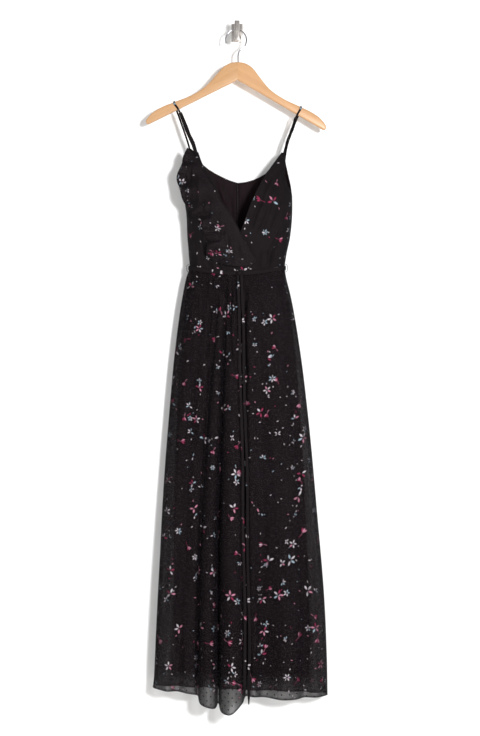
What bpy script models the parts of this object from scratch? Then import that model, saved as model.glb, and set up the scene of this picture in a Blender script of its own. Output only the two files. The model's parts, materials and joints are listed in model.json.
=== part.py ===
"""Wrap-front maxi dress with thin straps, on a wooden hanger that hangs from a wall hook.

Metres, +Z up. The origin is the centre of the wall plate's back face, which lies on the wall.
The dress faces -Y, and +X is to the right of someone who looks at it.
"""

import math
from collections import namedtuple

import bmesh
import bpy
import numpy as np
from mathutils import Matrix, Vector

# The plane that the hanger, the side seams and the hook's wire lie in, out from the wall.
MIDDLE_Y = -0.045

# Cloth walls and the gaps between them.
SHELL = 0.0012
LINING_SHELL = 0.0010
SEAM_GAP = 0.0004
EDGE_COLUMN = 0.002
RELIEF = 0.0003

# Heights of the dress. Its hem hangs lower towards the right.
WAIST_Z = -0.576
WAIST_SAG = 0.014
HEM_Z = -1.589
HEM_LEAN = 0.0457
HEM_BACK_DROP = 0.006
LINING_HEM_Z = -1.549
UNDERARM_Z = -0.403

# How much the tube of the dress is squared off at its sides: 1 is an ellipse, less is squarer.
TUBE_POWER = 0.8
DENSE = 241

# The tube that the dress hangs in. Left and right are its side edges, front and back its depth.
Level = namedtuple("Level", "z left right front back")
LEVELS = (
    Level(-0.270, -0.1200, 0.1180, -0.066, -0.024),
    Level(-0.330, -0.1240, 0.1205, -0.076, -0.019),
    Level(-0.400, -0.1270, 0.1315, -0.087, -0.014),
    Level(-0.450, -0.1210, 0.1318, -0.087, -0.013),
    Level(-0.500, -0.1190, 0.1270, -0.081, -0.015),
    Level(-0.550, -0.1150, 0.1170, -0.075, -0.018),
    Level(-0.576, -0.1138, 0.1140, -0.074, -0.019),
    Level(-0.600, -0.1215, 0.1175, -0.075, -0.019),
    Level(-0.634, -0.1284, 0.1260, -0.076, -0.019),
    Level(-0.768, -0.1476, 0.1500, -0.078, -0.018),
    Level(-0.922, -0.1620, 0.1692, -0.080, -0.017),
    Level(-1.152, -0.1788, 0.1910, -0.082, -0.015),
    Level(-1.382, -0.1884, 0.2100, -0.083, -0.014),
    Level(-1.498, -0.1915, 0.2148, -0.083, -0.014),
    Level(-1.640, -0.2080, 0.2175, -0.083, -0.014),
)

# Fold lines of the skirt's front, from the left side seam to the right one. Each runs from the
# waist over mid skirt to the hem: x is its place, and out its height in front of the hanger's
# plane. Drop is how much lower than the sides its hem hangs.
Fold = namedtuple("Fold", "name x_waist x_mid x_hem out_waist out_mid out_hem drop")
FRONT_FOLDS = (
    Fold("side_roll", -0.1105, -0.1690, -0.1985, 0.010, 0.013, 0.015, 0.0000),
    Fold("side_flat", -0.0990, -0.1560, -0.1840, 0.021, 0.027, 0.030, 0.0000),
    Fold("a_ridge", -0.0880, -0.1400, -0.1660, 0.026, 0.036, 0.043, 0.0000),
    Fold("a_trough", -0.0740, -0.1200, -0.1430, 0.026, 0.030, 0.032, 0.0010),
    Fold("a_crest", -0.0610, -0.1000, -0.1180, 0.031, 0.037, 0.043, 0.0025),
    Fold("groove_one_lip", -0.0480, -0.0885, -0.1010, 0.033, 0.036, 0.041, 0.0050),
    Fold("groove_one", -0.0385, -0.0805, -0.0930, 0.029, 0.027, 0.0290, 0.0100),
    Fold("b_lip", -0.0325, -0.0735, -0.0865, 0.034, 0.041, 0.050, 0.0240),
    Fold("b_crest", -0.0290, -0.0600, -0.0690, 0.033, 0.048, 0.062, 0.0290),
    Fold("b_fall", -0.0255, -0.0490, -0.0530, 0.032, 0.043, 0.054, 0.0320),
    Fold("groove_two", -0.0220, -0.0410, -0.0445, 0.031, 0.026, 0.030, 0.0250),
    Fold("c_lip", -0.0170, -0.0335, -0.0360, 0.034, 0.045, 0.056, 0.0400),
    Fold("c_crest", -0.0060, -0.0130, -0.0150, 0.037, 0.056, 0.072, 0.0410),
    Fold("c_fall", 0.0050, 0.0100, 0.0120, 0.035, 0.048, 0.060, 0.0160),
    Fold("groove_three", 0.0140, 0.0190, 0.0210, 0.030, 0.031, 0.033, 0.0050),
    Fold("d_lip", 0.0250, 0.0330, 0.0400, 0.034, 0.039, 0.043, 0.0040),
    Fold("d_trough", 0.0430, 0.0600, 0.0640, 0.034, 0.030, 0.029, 0.0060),
    Fold("d_crest", 0.0660, 0.0980, 0.1080, 0.033, 0.041, 0.047, 0.0070),
    Fold("d_flat", 0.0860, 0.1300, 0.1400, 0.028, 0.036, 0.040, 0.0055),
    Fold("groove_four", 0.0970, 0.1500, 0.1600, 0.020, 0.025, 0.026, 0.0030),
    Fold("e_crest", 0.1010, 0.1660, 0.1880, 0.018, 0.027, 0.033, 0.0005),
    Fold("e_roll", 0.1105, 0.1790, 0.2090, 0.009, 0.013, 0.016, 0.0000),
)
FOLD_START = 0.05
COLUMNS_PER_FOLD = 3
FRONT_ROWS = 17
GATHER_HEIGHT = 0.0016
GATHER_AT = 0.035
GATHER_STEP = 0.012

# Soft folds of the skirt's back, in each half: how many, and their height at the hem.
BACK_FOLDS = 3.5
BACK_FOLD_HEIGHT = 0.0045
BACK_COLUMNS = 14
BACK_ROWS = 12

# The skirt's lining, which hangs inside the outer cloth.
LINING_INSET = 0.0036
LINING_INSET_HEM = 0.044
LINING_FRONT_HEM = 0.0205
LINING_BACK_HEM = 0.0225
LINING_COLUMNS = 16
LINING_ROWS = 8

# Edges of the two front bodice panels. The left panel crosses over the right one.
Edge = namedtuple("Edge", "z x")
OVER_ARMHOLE = (
    Edge(-0.302, -0.1035),
    Edge(-0.335, -0.1080),
    Edge(-0.370, -0.1160),
    Edge(UNDERARM_Z, -0.1270),
)
OVER_NECK = (
    Edge(-0.302, -0.0930),
    Edge(-0.329, -0.0835),
    Edge(-0.378, -0.0555),
    Edge(-0.432, -0.0319),
    Edge(-0.492, 0.0013),
    Edge(-0.536, 0.0320),
    Edge(-0.580, 0.0605),
)
UNDER_ARMHOLE = (
    Edge(-0.301, 0.1180),
    Edge(-0.335, 0.1135),
    Edge(-0.370, 0.1160),
    Edge(UNDERARM_Z, 0.1316),
)
UNDER_NECK = (
    Edge(-0.301, 0.1070),
    Edge(-0.351, 0.0724),
    Edge(-0.408, 0.0416),
    Edge(-0.491, 0.0060),
    Edge(-0.580, -0.0510),
)
OVER_OUT = 0.0028
BUST_OUT = 0.006
BUST_Z = -0.425
BUST_RADIUS = 0.055
BUSTS_X = (-0.062, 0.066)
DRAPE_HEIGHT = 0.0013
PANEL_ROWS = 15
OVER_COLUMNS = 18
UNDER_COLUMNS = 15

# The back's top edge, by its share of the way from the side seam to the centre seam.
TopEdge = namedtuple("TopEdge", "share z_left z_right")
BACK_TOP = (
    TopEdge(0.00, UNDERARM_Z, UNDERARM_Z),
    TopEdge(0.05, -0.3380, -0.3450),
    TopEdge(0.10, -0.2870, -0.2970),
    TopEdge(0.14, -0.2890, -0.2985),
    TopEdge(0.23, -0.3050, -0.3100),
    TopEdge(0.30, -0.3160, -0.3205),
    TopEdge(0.37, -0.3250, -0.3310),
    TopEdge(0.48, -0.3360, -0.3460),
    TopEdge(0.60, -0.3455, -0.3545),
    TopEdge(0.72, -0.3535, -0.3610),
    TopEdge(0.86, -0.3620, -0.3660),
    TopEdge(1.00, -0.3680, -0.3680),
)
CENTRE_SEAM_X = 0.0012
BODICE_LINING_IN = 0.0021
BODICE_BACK_ROWS = 9

# Centre back zip: its coil lies between the lining's halves, its slider and pull outside.
ZIP_WIDTH = 0.0046
ZIP_THICKNESS = 0.0014
ZIP_GAP = 0.0056
ZIP_BELOW_WAIST = 0.150
ZIP_TOP_INSET = 0.004
SLIDER_SIZE = (0.0056, 0.0016, 0.0075)
SLIDER_CHEEK = (0.0010, 0.0034, 0.0034)
PULL_EYE_RADIUS = 0.0018
PULL_EYE_HOLE = 0.0011
PULL_PIN_RADIUS = 0.0007
PULL_WIDTH = 0.0042
PULL_LENGTH = 0.0150
PULL_THICKNESS = 0.0014

# Ruffle along the crossing panel's neck edge: its seam, and its free edge when it lies flat.
Ruffle = namedtuple("Ruffle", "share seam_x seam_z edge_x edge_z")
RUFFLE = (
    Ruffle(0.00, -0.1095, -0.3011, -0.1187, -0.2918),
    Ruffle(0.07, -0.0929, -0.3225, -0.1270, -0.3108),
    Ruffle(0.16, -0.0846, -0.3368, -0.1341, -0.3369),
    Ruffle(0.27, -0.0691, -0.3605, -0.1424, -0.3772),
    Ruffle(0.36, -0.0536, -0.3879, -0.1282, -0.4104),
    Ruffle(0.48, -0.0382, -0.4200, -0.1116, -0.4483),
    Ruffle(0.60, -0.0215, -0.4438, -0.0879, -0.4638),
    Ruffle(0.72, -0.0049, -0.4652, -0.0748, -0.5029),
    Ruffle(0.82, 0.0094, -0.4902, -0.0677, -0.5385),
    Ruffle(0.90, 0.0236, -0.5139, -0.0452, -0.5563),
    Ruffle(1.00, 0.0451, -0.5496, 0.0307, -0.5610),
)
RUFFLE_SHELL = 0.0010
RUFFLE_CLEAR = 0.0024
RUFFLE_WAVES = 6.5
RUFFLE_HEIGHT = 0.014
RUFFLE_SWAY = 0.0025
RUFFLE_COLUMNS = 44
RUFFLE_ROWS = 5

# Belt, its knot and its two hanging ends, and the thread loops at the sides.
BELT_WIDTH = 0.011
BELT_SHELL = 0.0015
BELT_OUT_FRONT = 0.0056
BELT_OUT_BACK = 0.0024
BELT_OUT_SIDES = 0.0026
BELT_COLUMNS = 72
KNOT_X = 0.006
KNOT_SIZE = (0.017, 0.009, 0.014)
TIE_WIDTH = 0.0075
TIE_SHELL = 0.0014
TIE_CLEAR = 0.0022
TIE_ROWS = 26
TIE_START = 0.03
Tie = namedtuple("Tie", "name x_top x_mid x_end z_end")
TIES = (
    Tie("belt_tie_left", 0.0019, 0.0135, 0.0195, -1.588),
    Tie("belt_tie_right", 0.0104, 0.0235, 0.0290, -1.612),
)
LOOP_WIRE = 0.0008
LOOP_HEIGHT = 0.019

# Straps. The wide front ones are folded cloth, and the narrow ones go over the hanger.
WIDE_STRAP = 0.0100
NARROW_STRAP = 0.0048
STRAP_SHELL = 0.0014
STRAP_GAP = 0.0005
Strap = namedtuple("Strap", "side hangs_at wide twist back_end")
STRAPS = (
    Strap(
        "left",
        -0.1500,
        (
            (-0.1358, -0.0545, -0.2048),
            (-0.1244, -0.0575, -0.2343),
            (-0.1157, -0.0605, -0.2573),
            (-0.1051, -0.0637, -0.2806),
            (-0.0976, -0.0692, -0.3060),
        ),
        0.0,
        (-0.1150, -0.0343, -0.2864),
    ),
    Strap(
        "right",
        0.1545,
        (
            (0.1400, -0.0545, -0.2165),
            (0.1347, -0.0553, -0.2372),
            (0.1270, -0.0562, -0.2574),
            (0.1203, -0.0585, -0.2758),
            (0.1138, -0.0630, -0.3040),
        ),
        math.radians(-35.0),
        (0.1133, -0.0343, -0.2964),
    ),
)

# Wooden hanger: how far its top edge lies below its crown, by the distance from its middle.
CROWN = Vector((0.0024, MIDDLE_Y, -0.0816))
HANGER_TILT = math.radians(1.9)
HANGER_THICKNESS = 0.012
HANGER_HALF = 0.216
HANGER_NECK_HEIGHT = 0.043
UNDERSIDE_SLOPE = 0.530
HANGER_EDGE = 0.0022
Crest = namedtuple("Crest", "x drop")
HANGER_TOP = (
    Crest(0.000, 0.000),
    Crest(0.018, 0.003),
    Crest(0.036, 0.014),
    Crest(0.054, 0.036),
    Crest(0.074, 0.059),
    Crest(0.108, 0.0828),
    Crest(0.149, 0.1010),
    Crest(0.184, 0.117),
    Crest(0.202, 0.129),
    Crest(0.212, 0.140),
)
HANGER_TIP = ((0.2160, -0.1462), (0.2165, -0.1520), (0.2140, -0.1560), (0.2090, -0.1560))
HOOK_WIRE = 0.0018
HOOK_RADIUS = 0.025
HOOK_CENTRE = Vector((-0.0024, MIDDLE_Y, -0.0284))
HOOK_TIP_ANGLE = math.radians(197.0)
HOOK_TURN_ANGLE = math.radians(-42.0)
STEM_Z = -0.066

# Wall hook: plate, post and upright bar.
PLATE = (0.027, 0.004, 0.044)
POST_RADIUS = 0.006
POST_Z = -0.0116
BAR = (0.012, 0.006, 0.0475)
BAR_Y = -0.064
BAR_Z = -0.0108
METAL_EDGE = 0.0012


def clear_scene():
    """Removes the objects that Blender starts with."""
    for item in list(bpy.data.objects):
        bpy.data.objects.remove(item)


def finish_of(name, colour, roughness, metallic=0.0):
    """A Principled material."""
    material = bpy.data.materials.new(name)
    material.use_nodes = True
    shader = material.node_tree.nodes["Principled BSDF"]
    shader.inputs["Base Color"].default_value = (*colour, 1.0)
    shader.inputs["Roughness"].default_value = roughness
    shader.inputs["Metallic"].default_value = metallic
    return material


def place(name, bm, material, smooth=True):
    """Turns a bmesh into a named object."""
    mesh = bpy.data.meshes.new(name)
    bm.to_mesh(mesh)
    bm.free()
    mesh.materials.append(material)
    item = bpy.data.objects.new(name, mesh)
    bpy.context.scene.collection.objects.link(item)
    if smooth:
        mesh.shade_smooth()
        mesh.set_sharp_from_angle(angle=math.radians(40.0))
    return item


def cloth(name, grid, shell, material):
    """A cloth wall through a grid of points, rows by columns, with half its thickness each side."""
    rows, columns, _ = grid.shape
    bm = bmesh.new()
    verts = [[bm.verts.new(grid[r, c]) for c in range(columns)] for r in range(rows)]
    for r in range(rows - 1):
        for c in range(columns - 1):
            bm.faces.new((verts[r][c], verts[r + 1][c], verts[r + 1][c + 1], verts[r][c + 1]))
    item = place(name, bm, material)
    wall = item.modifiers.new("wall", "SOLIDIFY")
    wall.thickness = shell
    wall.offset = 0.0
    return item


def block(bm, size, centre):
    """Adds a box to a bmesh and returns its vertices."""
    made = bmesh.ops.create_cube(bm, size=1.0, matrix=Matrix.Translation(Vector(centre)))
    bmesh.ops.scale(bm, vec=size, verts=made["verts"], space=Matrix.Translation(-Vector(centre)))
    return made["verts"]


def rod(bm, radius, length, centre, axis, segments=20):
    """Adds a capped cylinder along X or Y to a bmesh."""
    turn = Matrix.Rotation(math.pi / 2, 4, "Y" if axis == "X" else "X")
    bmesh.ops.create_cone(
        bm,
        cap_ends=True,
        segments=segments,
        radius1=radius,
        radius2=radius,
        depth=length,
        matrix=Matrix.Translation(Vector(centre)) @ turn,
    )


def joined(name, bm_main, bm_others, material):
    """One solid from overlapping bmeshes, by Boolean unions that are applied."""
    main = place(name, bm_main, material, smooth=False)
    for number, bm in enumerate(bm_others):
        tool = place(f"{name}_tool_{number}", bm, material, smooth=False)
        union = main.modifiers.new("union", "BOOLEAN")
        union.operation = "UNION"
        union.object = tool
        tool.hide_render = True
        tool.display_type = "WIRE"
    return main


def smooth_through(knots, values, at):
    """A smooth curve through values at rising knots."""
    knots = np.asarray(knots, float)
    values = np.asarray(values, float)
    at = np.clip(at, knots[0], knots[-1])
    slopes = np.gradient(values, knots)
    i = np.clip(np.searchsorted(knots, at, side="right") - 1, 0, len(knots) - 2)
    width = knots[i + 1] - knots[i]
    s = (at - knots[i]) / width
    rise = values[i] * (2 * s**3 - 3 * s**2 + 1) + values[i + 1] * (3 * s**2 - 2 * s**3)
    lean = slopes[i] * (s**3 - 2 * s**2 + s) + slopes[i + 1] * (s**3 - s**2)
    return rise + lean * width


def column_at(rows, column, z):
    """A column of a table whose rows go down in z, at height z."""
    return smooth_through([-row.z for row in rows], [getattr(row, column) for row in rows], -z)


def ease(value):
    """Smooth step from 0 to 1."""
    value = np.clip(value, 0.0, 1.0)
    return value * value * (3.0 - 2.0 * value)


def half_ring(z, side, out=0.0, out_sides=0.0):
    """Half of the tube at height z, from its left edge to its right one.

    side is -1 round the front and 1 round the back. It lies out further from the hanger's
    plane, and out_sides further out at its sides.
    """
    left = column_at(LEVELS, "left", z) - out_sides
    right = column_at(LEVELS, "right", z) + out_sides
    face = column_at(LEVELS, "front" if side < 0 else "back", z)
    depth = abs(face - MIDDLE_Y) + out
    angle = np.linspace(math.pi, 0.0, DENSE)
    cosine = np.cos(angle)
    x = (left + right) / 2 + (right - left) / 2 * np.sign(cosine) * abs(cosine) ** TUBE_POWER
    y = MIDDLE_Y + side * depth * np.sin(angle).clip(0.0) ** TUBE_POWER
    return np.stack([x, y, np.full(DENSE, z)], axis=1)


def run_lengths(points):
    """Length along a line of points, at each point."""
    steps = np.linalg.norm(np.diff(points, axis=0), axis=1)
    return np.concatenate([[0.0], np.cumsum(steps)])


def stretch(points, start, stop, shares):
    """Points at the given shares of the stretch from start to stop, measured along a line."""
    lengths = run_lengths(points)
    wanted = start + (stop - start) * np.asarray(shares)
    return np.stack([np.interp(wanted, lengths, points[:, k]) for k in range(3)], axis=1)


def with_edge(shares, length):
    """Shares with one more close to the first, so a wall meets its side seam squarely."""
    edge = min(EDGE_COLUMN / abs(length), shares[1] / 2)
    return np.concatenate([shares[:1], [edge], shares[1:]])


def seam_to_seam(points, count):
    """Points along a line, but for half a seam's gap at each end, closer together near both."""
    even = np.linspace(0.0, 1.0, count)
    shares = even - 0.11 * np.sin(2 * math.pi * even)
    start = SEAM_GAP / 2
    stop = run_lengths(points)[-1] - SEAM_GAP / 2
    shares = with_edge(shares, stop - start)
    shares = 1.0 - with_edge(1.0 - shares[::-1], stop - start)[::-1]
    return stretch(points, start, stop, shares)


def sag_at(x, z):
    """How far the front hangs below its level near the waist, most in the middle."""
    left = column_at(LEVELS, "left", WAIST_Z)
    right = column_at(LEVELS, "right", WAIST_Z)
    across = np.clip((x - (left + right) / 2) / ((right - left) / 2), -1.0, 1.0)
    return WAIST_SAG * (1.0 - across**2) * ease((UNDERARM_Z - z) / (UNDERARM_Z - WAIST_Z))


def bust_at(x, z):
    """How far the bust darts push the front out."""
    near = [np.exp(-(((x - cup) ** 2) + (z - BUST_Z) ** 2) / BUST_RADIUS**2) for cup in BUSTS_X]
    return BUST_OUT * sum(near) * ease((0.132 - abs(x)) / 0.03)


def drape_at(x, z):
    """Soft diagonal folds that run from the straps to the waist, flat at both sides."""
    fade = ease((-z - 0.33) / 0.08) * ease((z - WAIST_Z) / 0.03)
    fade = fade * ease((0.118 - abs(x)) / 0.03)
    return DRAPE_HEIGHT * np.sin((x * 0.55 + z) * 2 * math.pi / 0.062) * fade


def front_panel(armhole, neck, over, columns):
    """Points of a front bodice panel, row by row down to the waist seam."""
    grid = []
    top = neck[0].z
    for z in top + (WAIST_Z + RELIEF - top) * np.linspace(0.0, 1.0, PANEL_ROWS):
        ring = half_ring(z, -1, out=OVER_OUT if over else 0.0)
        lengths = run_lengths(ring)
        at_neck = np.interp(column_at(neck, "x", z), ring[:, 0], lengths)
        outer_x = column_at(armhole, "x", z)
        at_side = np.interp(outer_x, ring[:, 0], lengths)
        if z <= UNDERARM_Z:
            at_side = SEAM_GAP / 2 if over else lengths[-1] - SEAM_GAP / 2
        shares = np.linspace(0.0, 1.0, columns)
        shares = with_edge(shares - 0.10 * np.sin(math.pi * shares), at_neck - at_side)
        row = stretch(ring, at_side, at_neck, shares)
        row[:, 1] -= bust_at(row[:, 0], z) + drape_at(row[:, 0], z)
        row[:, 2] -= sag_at(row[:, 0], z)
        grid.append(row)
    return np.array(grid)


def back_panel(side, inward, centre_gap):
    """Points of one half of the bodice's back, side -1 for the left half."""
    table = [row.share for row in BACK_TOP]
    shares = with_edge(np.array(table), 0.12)
    tops = np.interp(shares, table, [row.z_left if side < 0 else row.z_right for row in BACK_TOP])
    if inward > 0.0:
        tops = tops - 0.001
    grid = np.zeros((BODICE_BACK_ROWS, len(shares), 3))
    for c, (share, top) in enumerate(zip(shares, tops)):
        for r, down in enumerate(np.linspace(0.0, 1.0, BODICE_BACK_ROWS)):
            z = top + (WAIST_Z + RELIEF - top) * down
            ring = half_ring(z, 1, -inward, -inward)
            lengths = run_lengths(ring)
            centre = np.interp(CENTRE_SEAM_X + side * centre_gap / 2, ring[:, 0], lengths)
            start = SEAM_GAP / 2 if side < 0 else lengths[-1] - SEAM_GAP / 2
            grid[r, c] = stretch(ring, start, centre, [share])[0]
    return grid


def through(points, per_span, mirror=(-1.0, -1.0, -1.0)):
    """A smooth line through points, with per_span steps between each two (centripetal).

    mirror says how the line goes on past its two end points: (1, -1, 1) meets them along Y.
    """
    ends = [points[0] + mirror * (points[1] - points[0]), points[-1] + mirror * (points[-2] - points[-1])]
    p = np.concatenate([ends[:1], points, ends[1:]])
    knots = np.concatenate([[0.0], np.cumsum(np.sqrt(np.linalg.norm(np.diff(p, axis=0), axis=1)))])
    line = []
    for i in range(1, len(p) - 2):
        for step in range(per_span):
            t = knots[i] + (knots[i + 1] - knots[i]) * step / per_span
            level = list(p[i - 1 : i + 3])
            for width in (1, 2, 3):
                for k in range(4 - width):
                    low = knots[i - 1 + k] if width < 3 else knots[i]
                    high = knots[i - 1 + k + width] if width < 3 else knots[i + 1]
                    if width == 2:
                        low, high = knots[i - 1 + k], knots[i + 1 + k]
                    share = (t - low) / (high - low)
                    level[k] = (1.0 - share) * level[k] + share * level[k + 1]
            line.append(level[0])
    line.append(p[-2])
    return np.array(line)


def three_point(start, middle, end, t):
    """The parabola through start, middle and end at t of 0, a half and 1."""
    return start * (1 - t) * (1 - 2 * t) + middle * 4 * t * (1 - t) + end * t * (2 * t - 1)


def waist_out(x):
    """Height of the front in front of the hanger's plane, at the waist seam."""
    ring = half_ring(WAIST_Z, -1, out=OVER_OUT / 2)
    return MIDDLE_Y - np.interp(x, ring[:, 0], ring[:, 1])


def near_end(end, following):
    """A point close to the end of a line that leaves its end along Y."""
    share = EDGE_COLUMN / math.dist(end, following)
    return end + (following - end) * (share**2, share, share)


def skirt_front_row(t, per_span):
    """One row of the skirt's front, t of the way from the waist to the hem."""
    rows = []
    for fold in FRONT_FOLDS:
        x = three_point(fold.x_waist, fold.x_mid, fold.x_hem, t)
        out = three_point(fold.out_waist, fold.out_mid, fold.out_hem, t)
        start = ease(t / FOLD_START)
        out = waist_out(fold.x_waist) * (1.0 - start) + out * start
        top = WAIST_Z - RELIEF - sag_at(fold.x_waist, WAIST_Z)
        z = top + (HEM_Z - top) * t - fold.drop * t**2
        rows.append((x, MIDDLE_Y - out, z))
    z_side = WAIST_Z - RELIEF + (HEM_Z - WAIST_Z) * t
    left = (column_at(LEVELS, "left", z_side), MIDDLE_Y - SEAM_GAP / 2, z_side)
    right = (column_at(LEVELS, "right", z_side), MIDDLE_Y - SEAM_GAP / 2, z_side)
    line = through(np.array([left, *rows, right]), per_span, (1.0, -1.0, 1.0))
    second = near_end(line[0], line[1])
    last_but_one = near_end(line[-1], line[-2])
    line = np.array([line[0], second, *line[1:-1], last_but_one, line[-1]])
    line[:, 2] -= HEM_LEAN * line[:, 0] * t
    gather = GATHER_HEIGHT * np.exp(-(((t - GATHER_AT) / GATHER_AT) ** 2)) * ease(t / 0.02)
    ripple = np.sin(line[:, 0] * math.pi / GATHER_STEP) ** 2
    line[:, 1] -= gather * ripple * ease((MIDDLE_Y - line[:, 1]) / 0.01)
    return line


def skirt_front():
    """Points of the skirt's front, with rows closer together near the waist."""
    shares = np.linspace(0.0, 1.0, FRONT_ROWS) ** 1.35
    return np.array([skirt_front_row(t, COLUMNS_PER_FOLD) for t in shares])


def skirt_back(side):
    """Points of one half of the skirt's back, side -1 for the left half."""
    grid = []
    for t in np.linspace(0.0, 1.0, BACK_ROWS) ** 1.15:
        z = WAIST_Z - RELIEF + (HEM_Z - WAIST_Z) * t
        ring = half_ring(z, 1)
        lengths = run_lengths(ring)
        centre = np.interp(CENTRE_SEAM_X + side * SEAM_GAP / 2, ring[:, 0], lengths)
        start = SEAM_GAP / 2 if side < 0 else lengths[-1] - SEAM_GAP / 2
        shares = with_edge(np.linspace(0.0, 1.0, BACK_COLUMNS) ** 1.15, centre - start)
        row = stretch(ring, start, centre, shares)
        wave = np.sin(2 * math.pi * BACK_FOLDS * (shares + 0.05 * np.sin(5.0 * shares)))
        edges = ease(shares / 0.15) * ease((1.0 - shares) / 0.18)
        row[:, 1] += BACK_FOLD_HEIGHT * ease(t / 0.6) * wave * edges
        row[:, 2] -= (HEM_LEAN * row[:, 0] + HEM_BACK_DROP * np.sin(shares * math.pi / 2)) * t
        grid.append(row)
    return np.array(grid)


def lining_half(side):
    """Points of the front (side -1) or back of the skirt's lining."""
    grid = []
    for t in np.linspace(0.0, 1.0, LINING_ROWS):
        z = WAIST_Z - RELIEF + (LINING_HEM_Z - WAIST_Z) * t
        hem_depth = LINING_FRONT_HEM if side < 0 else LINING_BACK_HEM
        face = column_at(LEVELS, "front" if side < 0 else "back", z)
        depth_here = abs(face - MIDDLE_Y)
        wanted = (depth_here - LINING_INSET) * (1 - ease(t / 0.2)) + hem_depth * ease(t / 0.2)
        squeeze = LINING_INSET + (LINING_INSET_HEM - LINING_INSET) * t
        row = seam_to_seam(half_ring(z, side, wanted - depth_here, -squeeze), LINING_COLUMNS)
        if side < 0:
            row[:, 2] -= sag_at(row[:, 0], WAIST_Z) * (1.0 - t)
        row[:, 2] -= HEM_LEAN * row[:, 0] * t
        grid.append(row)
    return np.array(grid)


def over_front_y(x, z):
    """Y of the crossing panel at a place on the front, carried on past the tube's edge."""
    ring = half_ring(z, -1, out=OVER_OUT)
    y = np.interp(x, ring[:, 0], ring[:, 1])
    return min(y, MIDDLE_Y - 0.018) - bust_at(x, z) - max(0.0, drape_at(x, z))


def ruffle():
    """Points of the ruffle: rows from its seam to its free edge, columns along it."""
    shares = np.linspace(0.0, 1.0, RUFFLE_COLUMNS)
    knots = [row.share for row in RUFFLE]
    lines = {
        column: smooth_through(knots, [getattr(row, column) for row in RUFFLE], shares)
        for column in ("seam_x", "seam_z", "edge_x", "edge_z")
    }
    phase = 2 * math.pi * RUFFLE_WAVES * shares + 0.6
    height = RUFFLE_HEIGHT * ease(shares / 0.10) * (1.0 - 0.55 * ease((shares - 0.8) / 0.2))
    grid = []
    for down in np.linspace(0.0, 1.0, RUFFLE_ROWS):
        row = []
        for c in range(RUFFLE_COLUMNS):
            x = lines["seam_x"][c] * (1 - down) + lines["edge_x"][c] * down
            z = lines["seam_z"][c] * (1 - down) + lines["edge_z"][c] * down
            swing = height[c] * down**1.2
            x += RUFFLE_SWAY * down * math.cos(phase[c]) * ease(shares[c] / 0.2)
            z += 0.5 * RUFFLE_SWAY * down * math.cos(phase[c])
            z = max(z, WAIST_Z + BELT_WIDTH)
            y = over_front_y(x, z) - RUFFLE_CLEAR - swing * (0.5 + 0.5 * math.sin(phase[c]))
            row.append((x, y, z - sag_at(x, z)))
        grid.append(row)
    return np.array(grid)


def belt_edge(up):
    """One edge of the belt, from the knot's left round the back to its right."""
    z = WAIST_Z + up
    front = half_ring(z, -1, BELT_OUT_FRONT, BELT_OUT_SIDES)
    back = half_ring(z, 1, BELT_OUT_BACK, BELT_OUT_SIDES)
    at_knot = (KNOT_X - KNOT_SIZE[0] / 2, KNOT_X + KNOT_SIZE[0] / 2)
    ends = [[(x, np.interp(x, front[:, 0], front[:, 1]), z)] for x in at_knot]
    left = front[front[:, 0] < at_knot[0]][::-1]
    right = front[front[:, 0] > at_knot[1]][::-1]
    line = np.concatenate([ends[0], left, back[1:-1], right, ends[1]])
    row = stretch(line, 0.0, run_lengths(line)[-1], np.linspace(0.0, 1.0, BELT_COLUMNS))
    row[:, 2] -= np.where(row[:, 1] < MIDDLE_Y, sag_at(row[:, 0], WAIST_Z), 0.0)
    return row


def belt():
    """Points of the belt: its upper and lower edge."""
    return np.array([belt_edge(BELT_WIDTH / 2), belt_edge(-BELT_WIDTH / 2)])


def knot_centre():
    """Centre of the belt's knot, just in front of the belt."""
    ring = half_ring(WAIST_Z, -1, out=BELT_OUT_FRONT)
    y = np.interp(KNOT_X, ring[:, 0], ring[:, 1]) - KNOT_SIZE[1] / 2 + BELT_SHELL
    return Vector((KNOT_X, y, WAIST_Z - sag_at(KNOT_X, WAIST_Z)))


def belt_knot(material):
    """The belt's knot: a rounded lump at the middle of the waist."""
    bm = bmesh.new()
    block(bm, KNOT_SIZE, knot_centre())
    bmesh.ops.bevel(
        bm, geom=bm.edges[:], offset=0.0034, segments=3, profile=0.5, affect="EDGES", material=-1
    )
    return place("belt_knot", bm, material)


def tie_grid(tie, front):
    """Points of one hanging belt end, which lies just in front of the skirt."""
    knot = knot_centre()
    top = knot.z - KNOT_SIZE[2] / 2 - RELIEF
    flat = front.reshape(-1, 3)
    grid = []
    for t in np.linspace(0.0, 1.0, TIE_ROWS):
        z = top + (tie.z_end - top) * t
        x = three_point(tie.x_top, tie.x_mid, tie.x_end, t)
        near = flat[(abs(flat[:, 2] - z) < 0.055) & (abs(flat[:, 0] - x) < 0.012)]
        y = near[:, 1].min() if len(near) else grid[-1][0][1] + TIE_CLEAR
        taper = TIE_WIDTH / 2 * (1.0 - 0.65 * ease((t - 0.975) / 0.025))
        y = knot.y + (min(y - TIE_CLEAR, MIDDLE_Y - 0.0345) - knot.y) * ease(t / TIE_START)
        grid.append([(x - taper, y, z), (x, y - 0.0006, z), (x + taper, y, z)])
    return np.array(grid)


def ribbon(name, points, across, width, shell, material, per_span=4):
    """A strap along points, with its width along one direction."""
    line = through(np.array(points), per_span)
    half = np.array(across) * width / 2
    return cloth(name, np.array([[p - half, p, p + half] for p in line]), shell, material)


def hanger_frame():
    """The hanger's own frame: its origin at the crown, tilted as it hangs."""
    return Matrix.Translation(CROWN) @ Matrix.Rotation(HANGER_TILT, 4, "Y")


def hanger_top_at(x):
    """Height of the hanger's upper edge under its crown, at a distance from its middle."""
    return -smooth_through([row.x for row in HANGER_TOP], [row.drop for row in HANGER_TOP], abs(x))


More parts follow.
